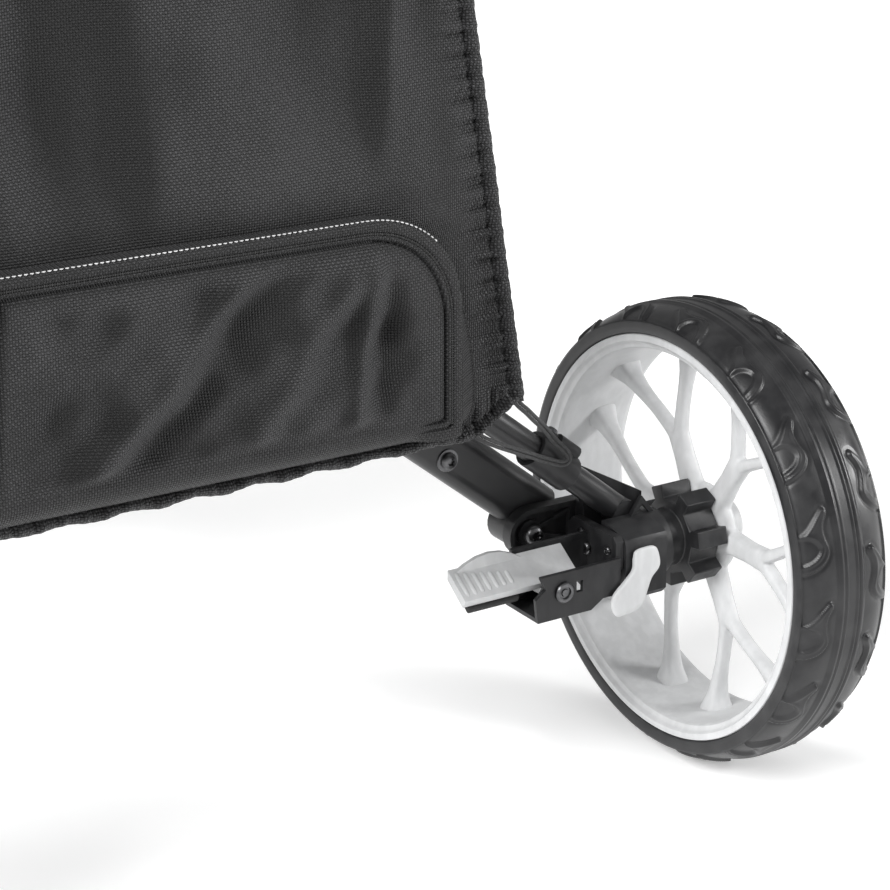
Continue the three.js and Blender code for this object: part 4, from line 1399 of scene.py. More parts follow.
    def cords(self) -> None:
        """Two strands of elastic side by side along the route from the hem round the clip."""
        shift = np.array([0.0, self.axle[1], 0.0])
        line = smooth_line(np.array(self.route) * MM + shift, 110)
        tangent = unit(np.gradient(line, axis=0))
        beside = unit(np.cross(tangent, [0.0, 1.0, 0.15]))
        for word, offset in (("outer", -1.0), ("inner", 1.0)):
            path = self.mirror(line + offset * self.strand * 1.02 * MM * beside)
            tube = capped_tube(
                self.name(f"elastic_{word}"), path, oval(2 * self.strand * MM, 2 * self.strand * MM, 14),
                (0, 1, 0.15)
            )
            node = [self.name("shock_cord")] if offset < 0 else []
            dress(tube, Look.CORD, "", node)
            self.name("link")
            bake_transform(tube)

    def build(self) -> None:
        """Makes the corner's pieces."""
        self.cords()
        self.mouldings()
        self.link()
        self.bolts()
        self.pedal_pin()
        self.pedal()
        self.release()
        self.axle_pin()


# ---- Rear pouch ----------------------------------------------------------------------------


@dataclass
class Pouch:
    """Cloth panel with gathered hems, a zipped pocket on it and webbing loops round its bar.

    Lengths are in millimetres; depth is measured rearward from the panel's ahead face.
    """

    hem: float = 9.5
    bead: float = 5.2
    columns: int = 230
    rows: int = 190

    def __post_init__(self) -> None:
        """Reads the panel's and the pocket's places."""
        low, high = corners("rear_pouch")
        self.low, self.high = low / MM, high / MM
        self.pocket_low, self.pocket_high = (corner / MM for corner in corners("rear_pocket"))

    def half_width(self, z: Array) -> Array:
        """Half of the panel's width at a height: widest at the lower corners."""
        heights = [249, 268, 310, 351, 398, 429, 500, 600]
        halves = [184.0, 184.5, 178.0, 171.5, 164.5, 159.5, 148.5, 133.5]
        return np.interp(z, heights, halves)

    def panel(self) -> None:
        """The panel: two faces that meet along a puckered bead all round.

        Across, a place runs from -1 to 1 of the half width; the lower edge rises towards the
        corners. The bead is a half circle of cloth, swollen and pinched along its length, with
        a stitched crease inside it.
        """
        s = np.linspace(-1, 1, self.columns)
        s = np.sign(s) * (1 - (1 - np.abs(s)) ** 1.35)
        t = np.linspace(0, 1, self.rows)
        t = np.where(t < 0.25, t * 0.4, 0.1 + (t - 0.25) * 1.2)
        s, t = np.meshgrid(s, t)
        foot = self.low[2] - 3.0 + 17.0 * ramp(np.abs(s), 0.80, 0.985) + 1.2 * np.sin(s * 31.0) * (1 - s**2)
        z = foot + (self.high[2] - foot) * t
        x = s * self.half_width(z)
        edge_side = (1 - np.abs(s)) * self.half_width(z)
        edge_foot, edge_top = z - foot, self.high[2] - z
        edge = np.minimum(np.minimum(edge_side, edge_foot), edge_top)
        along = np.where(edge_side < edge_foot, z, x)
        pucker = (
            0.55 * np.sin(
                along * TAU / 13.0 + 2.0 * np.sin(along / 19.0)
            ) + 0.45 * np.sin(along * TAU / 6.1 + 1.3)
        )
        swell = self.bead * (1.05 + 0.42 * pucker) * (1.0 + 0.35 * ramp(edge_side - edge_foot, -8.0, 8.0))
        ring = np.sqrt(np.clip(swell**2 - (swell - np.minimum(edge, swell)) ** 2, 0, None))
        past = ramp(edge, self.bead * 0.9, self.hem)
        groove = bump(edge, self.hem + 0.6, 1.3)
        gather = (1.5 * pucker + 0.6 * np.sin(along * TAU / 4.4)) * bump(edge, self.hem + 4.0, 12.0)
        thick = ring * (1 - past) + past * (3.4 + 1.3 * gather) - 1.9 * groove
        thick = np.maximum(thick, 0.0) * ramp(edge, -0.01, 0.8)
        folds = 5.6 * waves(x * 0.8, z * 0.5, 100.0, 1) + 1.9 * waves(x, z * 0.6, 46.0, 2)
        folds = folds + 2.6 * bump(x - 84 - 0.12 * (z - 400), 0.0, 9.0) * ramp(z, 395, 440)
        behind = (1 - ramp(z, 380, 398)) * ramp(x, -190, -165) * (1 - ramp(x, 122, 142))
        folds = folds * ramp(edge, 4.0, 34.0) * (1 - 0.75 * bump(z, 385.0, 26.0)) * (1 - 0.9 * behind)
        slope = (1 - ramp(z, 392, 470)) * ramp(z, 362, 384) * (1 - ramp(x, 92, 168)) * ramp(edge, 0, 30)
        folds = folds + 10.4 * slope
        centre = (self.low[1] + self.high[1]) / 2 + 0.5
        rear = centre - thick - folds - 2.2 * ramp(edge, 10, 60)
        front = centre + np.where(edge < self.hem, thick * 0.9, 2.4 - folds - 2.2 * ramp(edge, 10, 60))
        front = np.where(edge < 0.8, centre + thick * 0.9, front)
        grid = np.concatenate(
            [np.stack([x, rear, z], -1), np.stack([x, front, z], -1)[:, ::-1]], axis=1
        ) * MM
        # painted light and shade on the panel's cloth: paler on fold tops, on slopes turned to the lamp, on
        # the gathers and along the hem's bead, darker in fold valleys, with a painted shadow just above the
        # pocket's zip
        loose = folds - 10.4 * slope
        lean = np.gradient(loose, axis=1) / np.maximum(np.gradient(x, axis=1), 0.2)
        shade = np.clip(loose / 9.0 - 3.2 * lean, -0.75, 0.9) + 0.35 * gather * ramp(edge, 2, 8)
        shade = (
            shade - 0.5 * slope * bump(z, 397.0, 9.0)
            + 0.7 * (1 - ramp(edge, 6.0, 12.0)) * (0.6 + 0.4 * pucker)
        )
        piece = crested(
            grid_piece("pouch_panel", grid, around=True), np.concatenate([shade, shade[:, ::-1]], 1)
        )
        flat_map(face_outward(piece))
        dress(piece, Look.CLOTH, "frame", ["rear_pouch"])

    def outline(self, inset: float, count: int = 420) -> Array:
        """Pocket's outline in (x, z), moved inward, its upper right corner on a wide arc."""
        left_low, left_high = -159.0 + inset, -151.0 + inset
        right, top, foot = 129.0 - inset, 391.0 - inset, 258.0 + inset
        radius = 63.0 - 0.75 * inset
        angle = np.linspace(0, math.pi / 2, 30)
        corner = np.stack(
            [
                right - radius + radius * np.cos(angle) ** 0.92,
                top - radius * 0.98 + 0.98 * radius * np.sin(angle) ** 0.92
            ],
            1
        )
        points = np.concatenate(
            [[(right, foot + 2.0)], corner, [(left_high, top)], [(left_low, foot)], [(right - 2.0, foot)]]
        )
        points = np.concatenate([points, points[:1]])
        return evenly(points, count + 1)[:-1]

    def face_depth(self, x: Array, z: Array) -> Array:
        """Folds of the pocket's face: a long slanting fold, upright ones near its end, and slack."""
        slant = (x + 45.0) * 0.72 + (z - 330.0) * -0.69
        long_fold = 6.4 * bump(slant, 0.0, 9.0) - 4.6 * bump(slant, 19.0, 11.0)
        upright = 6.0 * bump(x, 64.0 + 0.15 * (z - 320), 7.0) - 4.6 * bump(x, 80.0 + 0.1 * (z - 320), 8.0)
        second = 4.2 * bump((x - 10.0) * 0.8 + (z - 300.0) * -0.6, 0.0, 9.0)
        slack = 3.6 * waves(x, z, 74.0, 5) + 1.3 * waves(x, z, 30.0, 6)
        return long_fold + upright * ramp(z, 262, 300) + second + slack

    def pocket(self) -> None:
        """The pocket: ribbed gusset, piped edge with two stitched grooves, and a crowned face."""
        base = self.pocket_high[1]
        inset = np.array([0.0, 0.1, 0.2, 0.3, 0.6, 1.0, 1.5])
        depth = np.array([0.0, 4.0, 8.0, 10.6, 11.6, 12.2, 12.4])
        rim_inset = np.linspace(1.8, 16.0, 40)
        band = (
            12.4 + 1.3 * np.sqrt(np.clip(1 - ((rim_inset - 4.6) / 2.9) ** 2, 0, 1))
            + 1.0 * np.sqrt(np.clip(1 - ((rim_inset - 9.9) / 1.6) ** 2, 0, 1))
            - 1.2 * bump(rim_inset, 8.0, 0.5) - 1.6 * bump(rim_inset, 12.0, 0.8)
            + 1.6 * ramp(rim_inset, 12.2, 16.0)
        )
        rings = [self.outline(float(d)) for d in np.concatenate([inset, rim_inset])]
        depths = list(np.concatenate([depth, band]))
        last = rings[-1]
        heart = np.array([-12.0, 322.0])
        inner = []
        for share in np.linspace(1.0, 0.012, 96)[1:]:
            rings.append(heart + (last - heart) * share)
            inner.append(share)
        flat = np.stack(rings)
        depths = np.concatenate([depths, np.full(len(inner), 14.0)])[:, None] + 0.0 * flat[..., 0]
        plain = (1 - ramp(flat[..., 1], 272, 296)) * (1 - ramp(flat[..., 0], 96, 116))
        smooth = 14.0 - 13.0 * np.clip(1 - np.arange(len(flat)) / 44.0, 0, 1)[:, None] ** 2.2
        depths = depths * (1 - plain) + smooth * plain
        start = len(inset) + len(rim_inset)
        x, z = flat[start:, :, 0], flat[start:, :, 1]
        share = np.array(inner)[:, None]
        settle = ramp(1 - share, 0.0, 0.22)
        foot_pull = ramp(z, 262.0, 290.0)
        folds = settle * self.face_depth(x, z)
        depths[start:] += settle * 1.6 * foot_pull + folds
        # painted light and shade on the pocket's face: paler on fold tops and on slopes turned to the lamp,
        # darker in fold valleys, a painted highlight just inside its upper edge, and the rings of its piped
        # edge painted darker
        lean = (self.face_depth(x + 1.0, z) - self.face_depth(x - 1.0, z)) / 2.0
        shade = np.zeros(depths.shape)
        shade[start:] = np.clip(folds / 11.0 - 2.4 * settle * lean, -0.75, 1.0)
        shade[start:] += 0.45 * bump(1 - share, 0.10, 0.09) * ramp(z, 330, 372) * np.ones_like(z)
        shade[:start] -= 0.25
        grid = np.stack([flat[..., 0], base - depths, flat[..., 1]], -1) * MM
        piece = crested(grid_piece("pocket_face", grid, around=True, caps=True), shade)
        flat_map(face_outward(piece))
        dress(piece, Look.CLOTH, "frame", ["rear_pocket"])

    def rail(self, inset: float, depth: float, count: int) -> Array:
        """Line along the zip: from the left seam over the top and down the right side."""
        line = self.outline(inset, 840)
        x, z = line[:, 0], line[:, 1]
        start = int(np.argmin((x - 129.0) ** 2 + (z - 264.0) ** 2))
        line = np.roll(line, -start, axis=0)
        end = int(np.argmin((line[:, 0] + 150.0 - inset) ** 2 + (line[:, 1] - 391.0 + inset) ** 2))
        line = evenly(line[: end + 1], count)
        return np.stack([line[:, 0], np.full(count, self.pocket_high[1] - depth), line[:, 1]], 1) * MM

    def zip(self) -> None:
        """Zip along the pocket's edge: a toothed coil, its stitches, a gusset and the slider."""
        path = self.rail(8.0, 12.9, 1500)
        teeth = 0.8 + 0.35 * np.sin(travelled(path) * TAU / 0.0014)
        coil = capped_tube("zip_coil", path, oval(1.5 * MM, 1.1 * MM, 8), (0, -1, 0), teeth)
        dress(coil, Look.TAPE, "frame")

        line = self.rail(0.9, 12.6, 4000)
        distance = travelled(line)
        reach = float(distance[-1])
        pitch, length = 3.1 * MM, 1.9 * MM
        stitches = []
        for spot in np.arange(0.30 * reach, reach - pitch, pitch):
            ends = np.interp([spot, spot + length / 2, spot + length], distance, np.arange(len(distance)))
            points = line[ends.astype(int)] + np.array([[0, 0.0003, 0], [0, -0.0003, 0], [0, 0.0003, 0]])
            grid = swept(points, oval(0.85 * MM, 0.7 * MM, 6), (0, -1, 0), np.array([0.6, 1.0, 0.6]))
            stitches.append(capped("stitch", grid))
        dress(joined("zip_stitches", stitches), Look.THREAD, "frame")

        node = "zip_slider"
        low, high = corners(node)
        centre = (low + high) / 2
        wing = smooth_line(
            [
                (-7, 0), (-5.5, 3.6), (0, 4.4), (6.2, 3.0), (7, 0), (6.2, -3.0), (0, -4.4), (-5.5, -3.6),
                (-7, 0)
            ],
            65
        )[:-1]
        shrink = np.array([0.02, 0.7, 0.95, 1.0, 1.0, 0.95, 0.7, 0.02])
        deep = np.array([-1.7, -1.7, -1.4, -0.9, 0.9, 1.4, 1.7, 1.7])
        flat = wing[None] * shrink[:, None, None]
        grid = np.stack(
            [flat[..., 0], np.broadcast_to(deep[:, None], flat.shape[:2]), flat[..., 1]], -1
        ) * MM + centre
        body = capped("slider_body", grid)
        pull = capped_tube(
            "slider_pull",
            smooth_line(
                np.array(
                    [(0, -1.6, 1), (0, -2.9, 0), (0, -2.6, -6), (0, -1.8, -14), (0, -1.6, -19)]
                ) * MM + centre,
                24
            ),
            oval(5.0 * MM, 1.1 * MM, 16, 3.0), (0, -1, 0),
        )
        dress(joined("slider_and_pull", [body, pull]), Look.DARK_STEEL, "zip", [node])

    def seams(self) -> None:
        """Stitched ridge beside the pocket's right edge, and the ribbed gusset between it and the pocket."""
        y = self.low[1]
        start = np.array([
            (118.0, y - 0.4, 362.0), (130.0, y - 0.4, 342.0), (138.5, y - 0.4, 318.0),
            (143.0, y - 0.4, 292.0),
            (143.5, y - 0.4, 274.0), (140.0, y - 0.4, 265.0), (131.0, y - 0.4, 261.5),
        ])
        section = oval(2.2 * MM, 2.0 * MM, 12)
        tube = capped_tube("gusset_piping", smooth_line(start * MM, 120), section, (0, -1, 0))
        dress(tube, Look.CLOTH, "frame")

        inner = self.outline(0.4, 840)
        inner = inner[(inner[:, 0] > 112.0) & (inner[:, 1] < 362.0) & (inner[:, 1] > 260.0)]
        order = np.argsort(-inner[:, 1])
        inner = evenly(inner[order], 70)
        outer = smooth_line(start[:, [0, 2]], 70)
        share = np.linspace(0, 1, 12)[None, :, None]
        flat = inner[:, None] * (1 - share) + outer[:, None] * share
        lift = 10.8 * (1 - share[..., 0]) ** 1.6 + 1.2 * np.sin(share[..., 0] * math.pi)
        deep = y - 0.6 - lift - 0.35 * np.sin(flat[..., 1] * TAU / 9.0) * np.sin(share[..., 0] * math.pi)
        outside = np.stack([flat[..., 0], deep, flat[..., 1]], -1)
        inside = np.stack([flat[..., 0], np.full(deep.shape, y + 1.5), flat[..., 1]], -1)
        grid = np.concatenate([outside, inside[:, ::-1]], 1) * MM
        web = capped("pocket_gusset", grid)
        flat_map(web)
        dress(web, Look.GUSSET, "frame")

    def loops(self) -> None:
        """Webbing loops that carry the panel's top edge on its bar."""
        low, high = corners("hanger_bar")
        bar_y = low[1] + 6.0 * MM
        bar_z = (low[2] + high[2]) / 2
        top = self.high[2] * MM
        for i, x in enumerate((-105.0, -42.0, 42.0, 105.0)):
            line = np.array([
                (0, bar_y - 0.0225, top - 0.035), (0, bar_y - 0.0215, top - 0.01),
                (0, bar_y - 0.016, top + 0.006),
                (0, bar_y - 0.004, top + 0.008), (0, bar_y + 0.006, top - 0.002), (0, bar_y + 0.0082, bar_z),
                (0, bar_y + 0.003, bar_z - 0.0078), (0, bar_y - 0.004, top - 0.03),
                (0, bar_y - 0.0045, top - 0.042),
            ])
            line[:, 0] = x * MM
            path = smooth_line(line, 60)
            tangent = unit(np.gradient(path, axis=0))
            across = np.array([1.0, 0.0, 0.0])
            outward = np.cross(tangent, across)
            flat = oval(24 * MM, 1.5 * MM, 20, 5.0)
            grid = path[:, None] + flat[None, :, :1] * across + flat[None, :, 1:] * outward[:, None, :]
            band = capped(f"hang_loop_{i}", grid)
            dress(band, Look.WEBBING, "frame")

    def build(self) -> None:
        """Makes the pouch's pieces."""
        self.panel()
        self.pocket()
        self.zip()
        self.seams()
        self.loops()


# ---- Frame, fork and handle ----------------------------------------------------------------


@dataclass
class FrameWork:
    """The cart's structure: hub, struts, spine, cradles, front block and fork."""

    def mouldings(self) -> None:
        """Mouldings and tubes whose CAD shape only needs its edges rounded."""
        for node, bevel in (
            ("hub_block", 2.0), ("front_block", 2.5), ("lower_cradle", 1.6), ("upper_cradle", 1.4)
        ):
            moulding(node, Look.MOULDED, bevel, 3)
        for node, bevel in (
            ("lower_stay", 3.0), ("rear_strut", 4.0), ("hanger_bar", 0.8), ("spine_tube", 1.2)
        ):
            moulding(node, Look.PAINT, bevel, 3)
        moulding("front_fork", Look.MOULDED, 1.8, 3)
        moulding("front_axle", Look.ZINC, 0.8)

    def bolts(self) -> None:
        """Screws of the hub, the front block and the fork's hinge."""
        low, high = corners("hub_block")
        face = low[1]
        spots = [(-0.045, 0.3), (0.045, 0.3), (-0.096, 0.3116), (0.096, 0.3116)]
        for i, (x, z) in enumerate(spots):
            rear = face if abs(x) > 0.06 else -0.1457
            dress(
                screw(f"hub_screw_{i}", np.array([x, rear, z]), (0, -1, 0), 5.6 * MM, 7.0 * MM),
                Look.DARK_STEEL, "frame"
            )
            dress(
                screw(f"hub_nut_{i}", np.array([x, high[1], z]), (0, 1, 0), 5.6 * MM, 7.0 * MM),
                Look.DARK_STEEL, "frame"
            )
        hinge = joint_place("front_fold")
        for side in Side:
            place = hinge + np.array([side.value * 37.2 * MM, 0, 0])
            dress(
                screw(f"fold_screw_{side.word}", place, (side.value, 0, 0), 8.0 * MM, 9.5 * MM),
                Look.DARK_STEEL, "frame",
            )
            tip = middle("front_axle")
            tip[0] = side.value * 39.6 * MM
            dress(
                screw(f"axle_screw_{side.word}", tip, (side.value, 0, 0), 5.0 * MM), Look.DARK_STEEL, "fork"
            )

    def pads(self) -> None:
        """Rubber strips on the upper cradle that the bag rests in."""
        frame = Lean()
        for i, shift in enumerate((-14.0, 14.0)):
            angle = np.radians(np.linspace(-142, -38, 60))
            radius = 121.2
            line = frame.place(
                radius * np.cos(angle), BAG_AXIS + radius * np.sin(angle), np.full(60, 656.0 + shift)
            )
            centre = frame.place(0.0, BAG_AXIS, 656.0 + shift)
            inward = unit(centre - line)
            tangent = unit(np.gradient(line, axis=0))
            across = np.cross(tangent, inward)
            flat = oval(10 * MM, 1.8 * MM, 16, 3.0)
            grid = line[:, None] + flat[None, :, :1] * across[:, None] + flat[None, :, 1:] * inward[:, None]
            dress(capped(f"cradle_strip_{i}", grid), Look.SOLE, "frame")

    def build(self) -> None:
        """Makes the frame's pieces."""
        self.mouldings()
        self.bolts()
        self.pads()


@dataclass
class Lean:
    """Coordinates along the leaning spine: x to the right, y from spine to bag, t up the spine."""

    def __post_init__(self) -> None:
        """Reads the lean off the two straps, which lie round the bag's axis."""
        low, high = middle("lower_strap"), middle("upper_strap")
        self.up = unit(high - low)
        self.out = np.array([0.0, self.up[2], -self.up[1]])
        self.foot = low - 111.0 * MM * self.up - BAG_AXIS * MM * self.out

    def place(self, x: Array, y: Array, t: Array) -> Array:
        """Points in metres from coordinates in millimetres."""
        x, y, t = np.broadcast_arrays(x, y, t)
        side = np.array([1.0, 0.0, 0.0])
        return self.foot + MM * (x[..., None] * side + y[..., None] * self.out + t[..., None] * self.up)

    def round(self, angle: Array, radius: Array, t: Array, axis: float = BAG_AXIS) -> Array:
        """Points round the bag's axis: angle from +x towards the bag's far side."""
        angle, radius, t = np.broadcast_arrays(angle, radius, t)
        return self.place(radius * np.cos(angle), axis + radius * np.sin(angle), t)


@dataclass
class Handle:
    """Handle above the hinge: stem, bow, foam grip, console and scorecard clip."""

    def __post_init__(self) -> None:
        """Reads the hinge and the stem's direction."""
        self.hinge = joint_place("handle_tilt")
        self.up = unit(middle("handle_grip") - self.hinge)
        self.out = np.array([0.0, self.up[2], -self.up[1]])

    def place(self, points: Iterable[Sequence[float]]) -> Array:
        """Points in metres from (x, y, along the stem) in millimetres."""
        p = np.array([list(point) for point in points], float) * MM
        side = np.array([1.0, 0.0, 0.0])
        return self.hinge + p[:, :1] * side + p[:, 1:2] * self.out + p[:, 2:] * self.up

    def bow(self) -> None:
        """Bent tube from the stem's head to both ends of the grip."""
        grip = float(np.linalg.norm(middle("handle_grip") - self.hinge)) / MM
        half = [
            (122, 0, grip - 14), (122, 0, 262), (117, 0, 236), (96, 0, 209), (62, 0, 198), (25, 0, 196),
            (0, 0, 196)
        ]
        points = half + [(-x, y, z) for x, y, z in reversed(half[:-1])]
        tube = capped_tube(
            "bow_tube", smooth_line(self.place(points), 150), oval(22 * MM, 22 * MM, 32), tuple(self.out)
        )
        dress(tube, Look.PAINT, "handle", ["handle_bow"])

    def grip(self) -> None:
        """Foam sleeve with soft finger rings, between two moulded end caps."""
        low, high = corners("handle_grip")
        centre = (low + high) / 2
        x = np.linspace(-135.5, 135.5, 260)
        wave = 0.55 * np.cos(x * TAU / 15.0) * (1 - ramp(np.abs(x), 108, 122))
        radius = 15.4 + wave - 2.2 * ramp(np.abs(x), 131.5, 135.5) ** 2
        profile = np.concatenate([[[10.0, -135.5]], np.stack([radius, x], 1), [[10.0, 135.5]]]) * MM
        sleeve = turned_piece("grip_sleeve", profile, centre, (1, 0, 0), 72)
        dress(sleeve, Look.FOAM, "handle", ["handle_grip"])
        for side in Side:
            s = side.value
            cap = turned_piece(
                f"grip_cap_{side.word}",
                np.array(
                    [
                        (0, 130.0), (13.0, 130.0), (14.6, 136.2), (14.2, 139.5), (12.2, 141.6),
                        (8.0, 142.0), (0, 142.0)
                    ]
                ) * MM,
                centre, (s, 0, 0), 64,
            )
            dress(sharpen(cap, 0.9), Look.MOULDED, "handle")

    def console(self) -> None:
        """Console with a raised rim, four screws, and the hinge's knob."""
        moulding("console", Look.MOULDED, 1.8, 3)
        moulding("scorecard_clip", Look.GREY, 0.9, 3)
        moulding("handle_stem", Look.PAINT, 1.2, 3)
        moulding("handle_pin", Look.ZINC, 0.8)
        for i, (x, z) in enumerate(((-52, 98), (52, 98), (-52, 156), (52, 156))):
            place = self.place([(x, 26.0, z)])[0]
            dress(screw(f"console_screw_{i}", place, self.out, 3.4 * MM), Look.DARK_STEEL, "handle")

    def build(self) -> None:
        """Makes the handle's pieces."""
        self.bow()
        self.grip()
        self.console()


# ---- Golf bag ------------------------------------------------------------------------------


@dataclass
class GolfBag:
    """Cart bag in the leaning frame: cloth body, padded cuff, pockets with zips, and straps.

    Lengths are in millimetres; angles go round the bag's axis from the right towards its far side.
    """

    radius: float = 119.0
    bottom: float = 70.3
    top: float = 850.0

    def __post_init__(self) -> None:
        """Reads the leaning frame."""
        self.lean = Lean()

    def body(self) -> None:
        """Cloth shell: a round wall that sags between its hoops, with slanting folds."""
        angle = np.linspace(0, TAU, 288, endpoint=False)
        t = np.linspace(self.bottom, self.top, 230)
        a, h = np.meshgrid(angle, t)
        sag = 2.2 * np.sin((h - self.bottom) / (self.top - self.bottom) * math.pi) ** 0.6
        folds = 1.5 * waves(a * 118, h * 0.6, 120, 11) + 0.6 * waves(a * 118, h, 42, 12)
        hoops = 2.0 * sum(bump(h, spot, 7.0) for spot in (111.0, 709.0))
        seams = sum(
            bump(np.abs((a - spot + math.pi) % TAU - math.pi) * 118, 0.0, 2.0)
            for spot in (0.82, 2.32, 3.95, 5.47)
        )
        ends = ramp(h, self.bottom, self.bottom + 14) * (1 - ramp(h, self.top - 12, self.top))
        r = self.radius - (sag + 1.4 + folds * ends * 0.9) * ends + seams * ends - hoops * ends
        outer = self.lean.round(a, np.minimum(r, self.radius + 1.0), h)
        inner = self.lean.round(a, np.full(r.shape, self.radius - 5.0), h)
        outer[-1] = self.lean.round(a[-1], r[-1], h[-1])
        grid = np.concatenate([outer, inner[::-1]], 0)
        piece = looped("bag_shell", grid)
        dress(piece, Look.BAG, "frame", ["bag_body"])

    def base(self) -> None:
        """Moulded foot with a rounded edge, upright ribs and a rolled rim."""
        angle = np.linspace(0, TAU, 288, endpoint=False)
        profile = np.array([
            (0, 29.6), (96, 29.6), (100, 29.0), (109, 29.0), (114, 30.6), (118.5, 34.5), (120.4, 39),
            (120.8, 44),
            (120.8, 56), (120.6, 60), (119.4, 64.5), (117.6, 66.2), (117.2, 69.2), (115.5, 70), (0, 70),
        ])
        ribs = 1.5 * (np.cos(angle * 36) > 0.2)
        grid = []
        for r, t in profile:
            depth = ribs if 40 < t < 60 and r > 100 else 0.0 * ribs
            grid.append(self.lean.round(angle, r - depth, t + 0.0 * angle))
        piece = sharpen(looped("bag_foot", np.array(grid)))
        dress(piece, Look.MOULDED, "frame", ["bag_base"])

    def cuff(self) -> None:
        """Padded collar: a rounded ring quilted in eight, and two padded dividers across it."""
        angle = np.linspace(0, TAU, 240, endpoint=False)
        section = np.array([
            (107.2, 852), (112, 850.4), (120, 850.4), (122.6, 853), (124, 862), (124, 880), (123.2, 893),
            (120, 902),
            (115.0, 904.8), (110, 903), (107.4, 896), (106.8, 880), (106.8, 862),
        ])
        loop = smooth_line(np.concatenate([section, section[:1]]), 57)[:-1]
        quilt = np.abs(np.sin(angle * 4)) ** 0.35
        grid = []
        for r, t in loop:
            inward = (r - 115.0) * (1 - quilt) * 0.18
            grid.append(self.lean.round(angle, r - inward, t + 0.0 * angle))
        ring = looped("cuff_ring", np.array(grid))
        dress(ring, Look.MESH, "frame", ["bag_cuff"])
        bars = []
        for turn in (0.0, math.pi / 2):
            reach = np.linspace(-107.5, 107.5, 90)
            loop = oval(8.0, 38.0, 40, 3.2)
            pinch = 1.0 - 0.25 * bump(reach, 0, 10) + 0.12 * np.sin(reach / 215 * TAU * 3)
            x = reach[:, None] + 0.0 * loop[None, :, 0]
            y = pinch[:, None] * loop[None, :, 0]
            t = (
                877.0 + loop[None, :, 1] + 0.0 * x
                - 3.0 * bump(reach, 0, 60)[:, None] * (loop[None, :, 1] > 0)
            )
            flat_x = x * math.cos(turn) - y * math.sin(turn)
            flat_y = x * math.sin(turn) + y * math.cos(turn)
            bars.append(capped("divider", self.lean.place(flat_x, BAG_AXIS + flat_y, t)))
        dividers = joined("club_dividers", bars)
        dress(dividers, Look.MESH, "frame")
        for i, t in enumerate((851.6, 903.0)):
            loop_angle = np.linspace(0, TAU, 240, endpoint=False)
            flat = oval(3.2, 3.2, 12)
            radius = 123.4 if i == 0 else 118.6
            grid = [self.lean.round(loop_angle, radius + x, t + y + 0.0 * loop_angle) for x, y in flat]
            piping = looped(f"cuff_piping_{i}", np.array(grid))
            dress(piping, Look.CORD, "frame")

    def pocket(
        self, node: str, middle_angle: float, half: float, start: float, end: float, outer: float
    ) -> None:
        """A packed pocket: a crowned pad round the wall with piping and a zip below its top.

        Across, the pad rises from the wall as a rounded box, to the power 0.35 of the distance
        from its edge; folds pull from its corners.

        Args:
            node: the CAD pocket that it replaces.
            middle_angle: angle of its middle, in degrees.
            half: half of its angle, in degrees.
            start: distance of its foot up the spine.
            end: distance of its top up the spine.
            outer: radius of its outer face.
        """
        u = np.linspace(-1, 1, 150)
        v = np.linspace(0, 1, 170)
        u = np.sign(u) * (1 - (1 - np.abs(u)) ** 1.5)
        v = 0.5 - 0.5 * np.sign(0.5 - v) * (1 - (1 - np.abs(2 * v - 1)) ** 1.5)
        u, v = np.meshgrid(u, v)
        inner = self.radius + 0.4
        width = math.radians(half) * (inner + outer) / 2
        du, dv = (1 - np.abs(u)) * width, np.minimum(v, 1 - v) * (end - start)
        corner = 26.0
        edge = np.where(
            (du < corner) & (dv < corner), corner - np.hypot(corner - du, corner - dv), np.minimum(du, dv)
        )
        lift = np.clip(edge / 22.0, 0, 1) ** 0.35
        rise = (outer - inner - 5.0) * lift + 3.4 * ramp(edge, 16, 60) * np.sin(v * math.pi) * np.cos(u * 1.3)
        folds = (
            1.3 * waves(u * width, v * (end - start) * 0.7, 80, 21)
            + 0.5 * waves(u * width, v * (end - start), 30, 22)
        )
        height = rise + folds * ramp(edge, 18, 50) + 1.6 * bump(edge, 19.0, 2.0) - 1.2 * bump(edge, 23.5, 1.4)
        height = np.clip(height, 0.0, outer - inner + 0.8) * ramp(edge, -0.1, 1.2)
        angle = math.radians(middle_angle) + u * math.radians(half)
        t = start + v * (end - start)
        face = self.lean.round(angle, inner + height, t)
        back = self.lean.round(angle, np.full(t.shape, inner), t)
        grid = np.concatenate([face, back[:, ::-1]], 1)
        piece = face_outward(grid_piece(f"{node}_pad", grid, around=True))
        dress(piece, Look.BAG, "frame", [node])

        line_t = np.concatenate([np.linspace(start + 70, end - 46, 60), np.full(60, end - 26.0)])
        spread = math.radians(half) * 0.72
        line_a = np.concatenate([np.full(60, spread), np.linspace(spread, -spread, 60)])
        fold = smooth_line(np.stack([line_a * 130, line_t], 1)[::10], 240)
        zip_angle = math.radians(middle_angle) + fold[:, 0] / 130
        surface = inner + np.interp(
            np.abs(fold[:, 0] / 130), [0, math.radians(half)], [outer - inner - 2.2, outer - inner - 4.6]
        )
        path = self.lean.round(zip_angle, surface + 1.1, fold[:, 1])
        axis_points = self.lean.round(zip_angle, np.zeros(len(zip_angle)), fold[:, 1])
        outward = unit(path - axis_points)
        tangent = unit(np.gradient(path, axis=0))
        across = np.cross(tangent, outward)
        for word, wide, thick, look in (("tape", 13.0, 1.6, Look.TAPE), ("coil", 4.6, 2.6, Look.SOLE)):
            flat = oval(wide * MM, thick * MM, 14, 3.0 if word == "tape" else 2.0)
            beat = 1.0 + (0.16 * np.sin(travelled(path) * TAU / 0.004) if word == "coil" else 0.0)
            beat = np.broadcast_to(beat, (len(path),))[:, None, None]
            grid = path[:, None] + (
                flat[None, :, :1] * across[:, None] + flat[None, :, 1:] * outward[:, None]
            ) * beat
            dress(capped(f"{node}_{word}", grid), look, "frame")

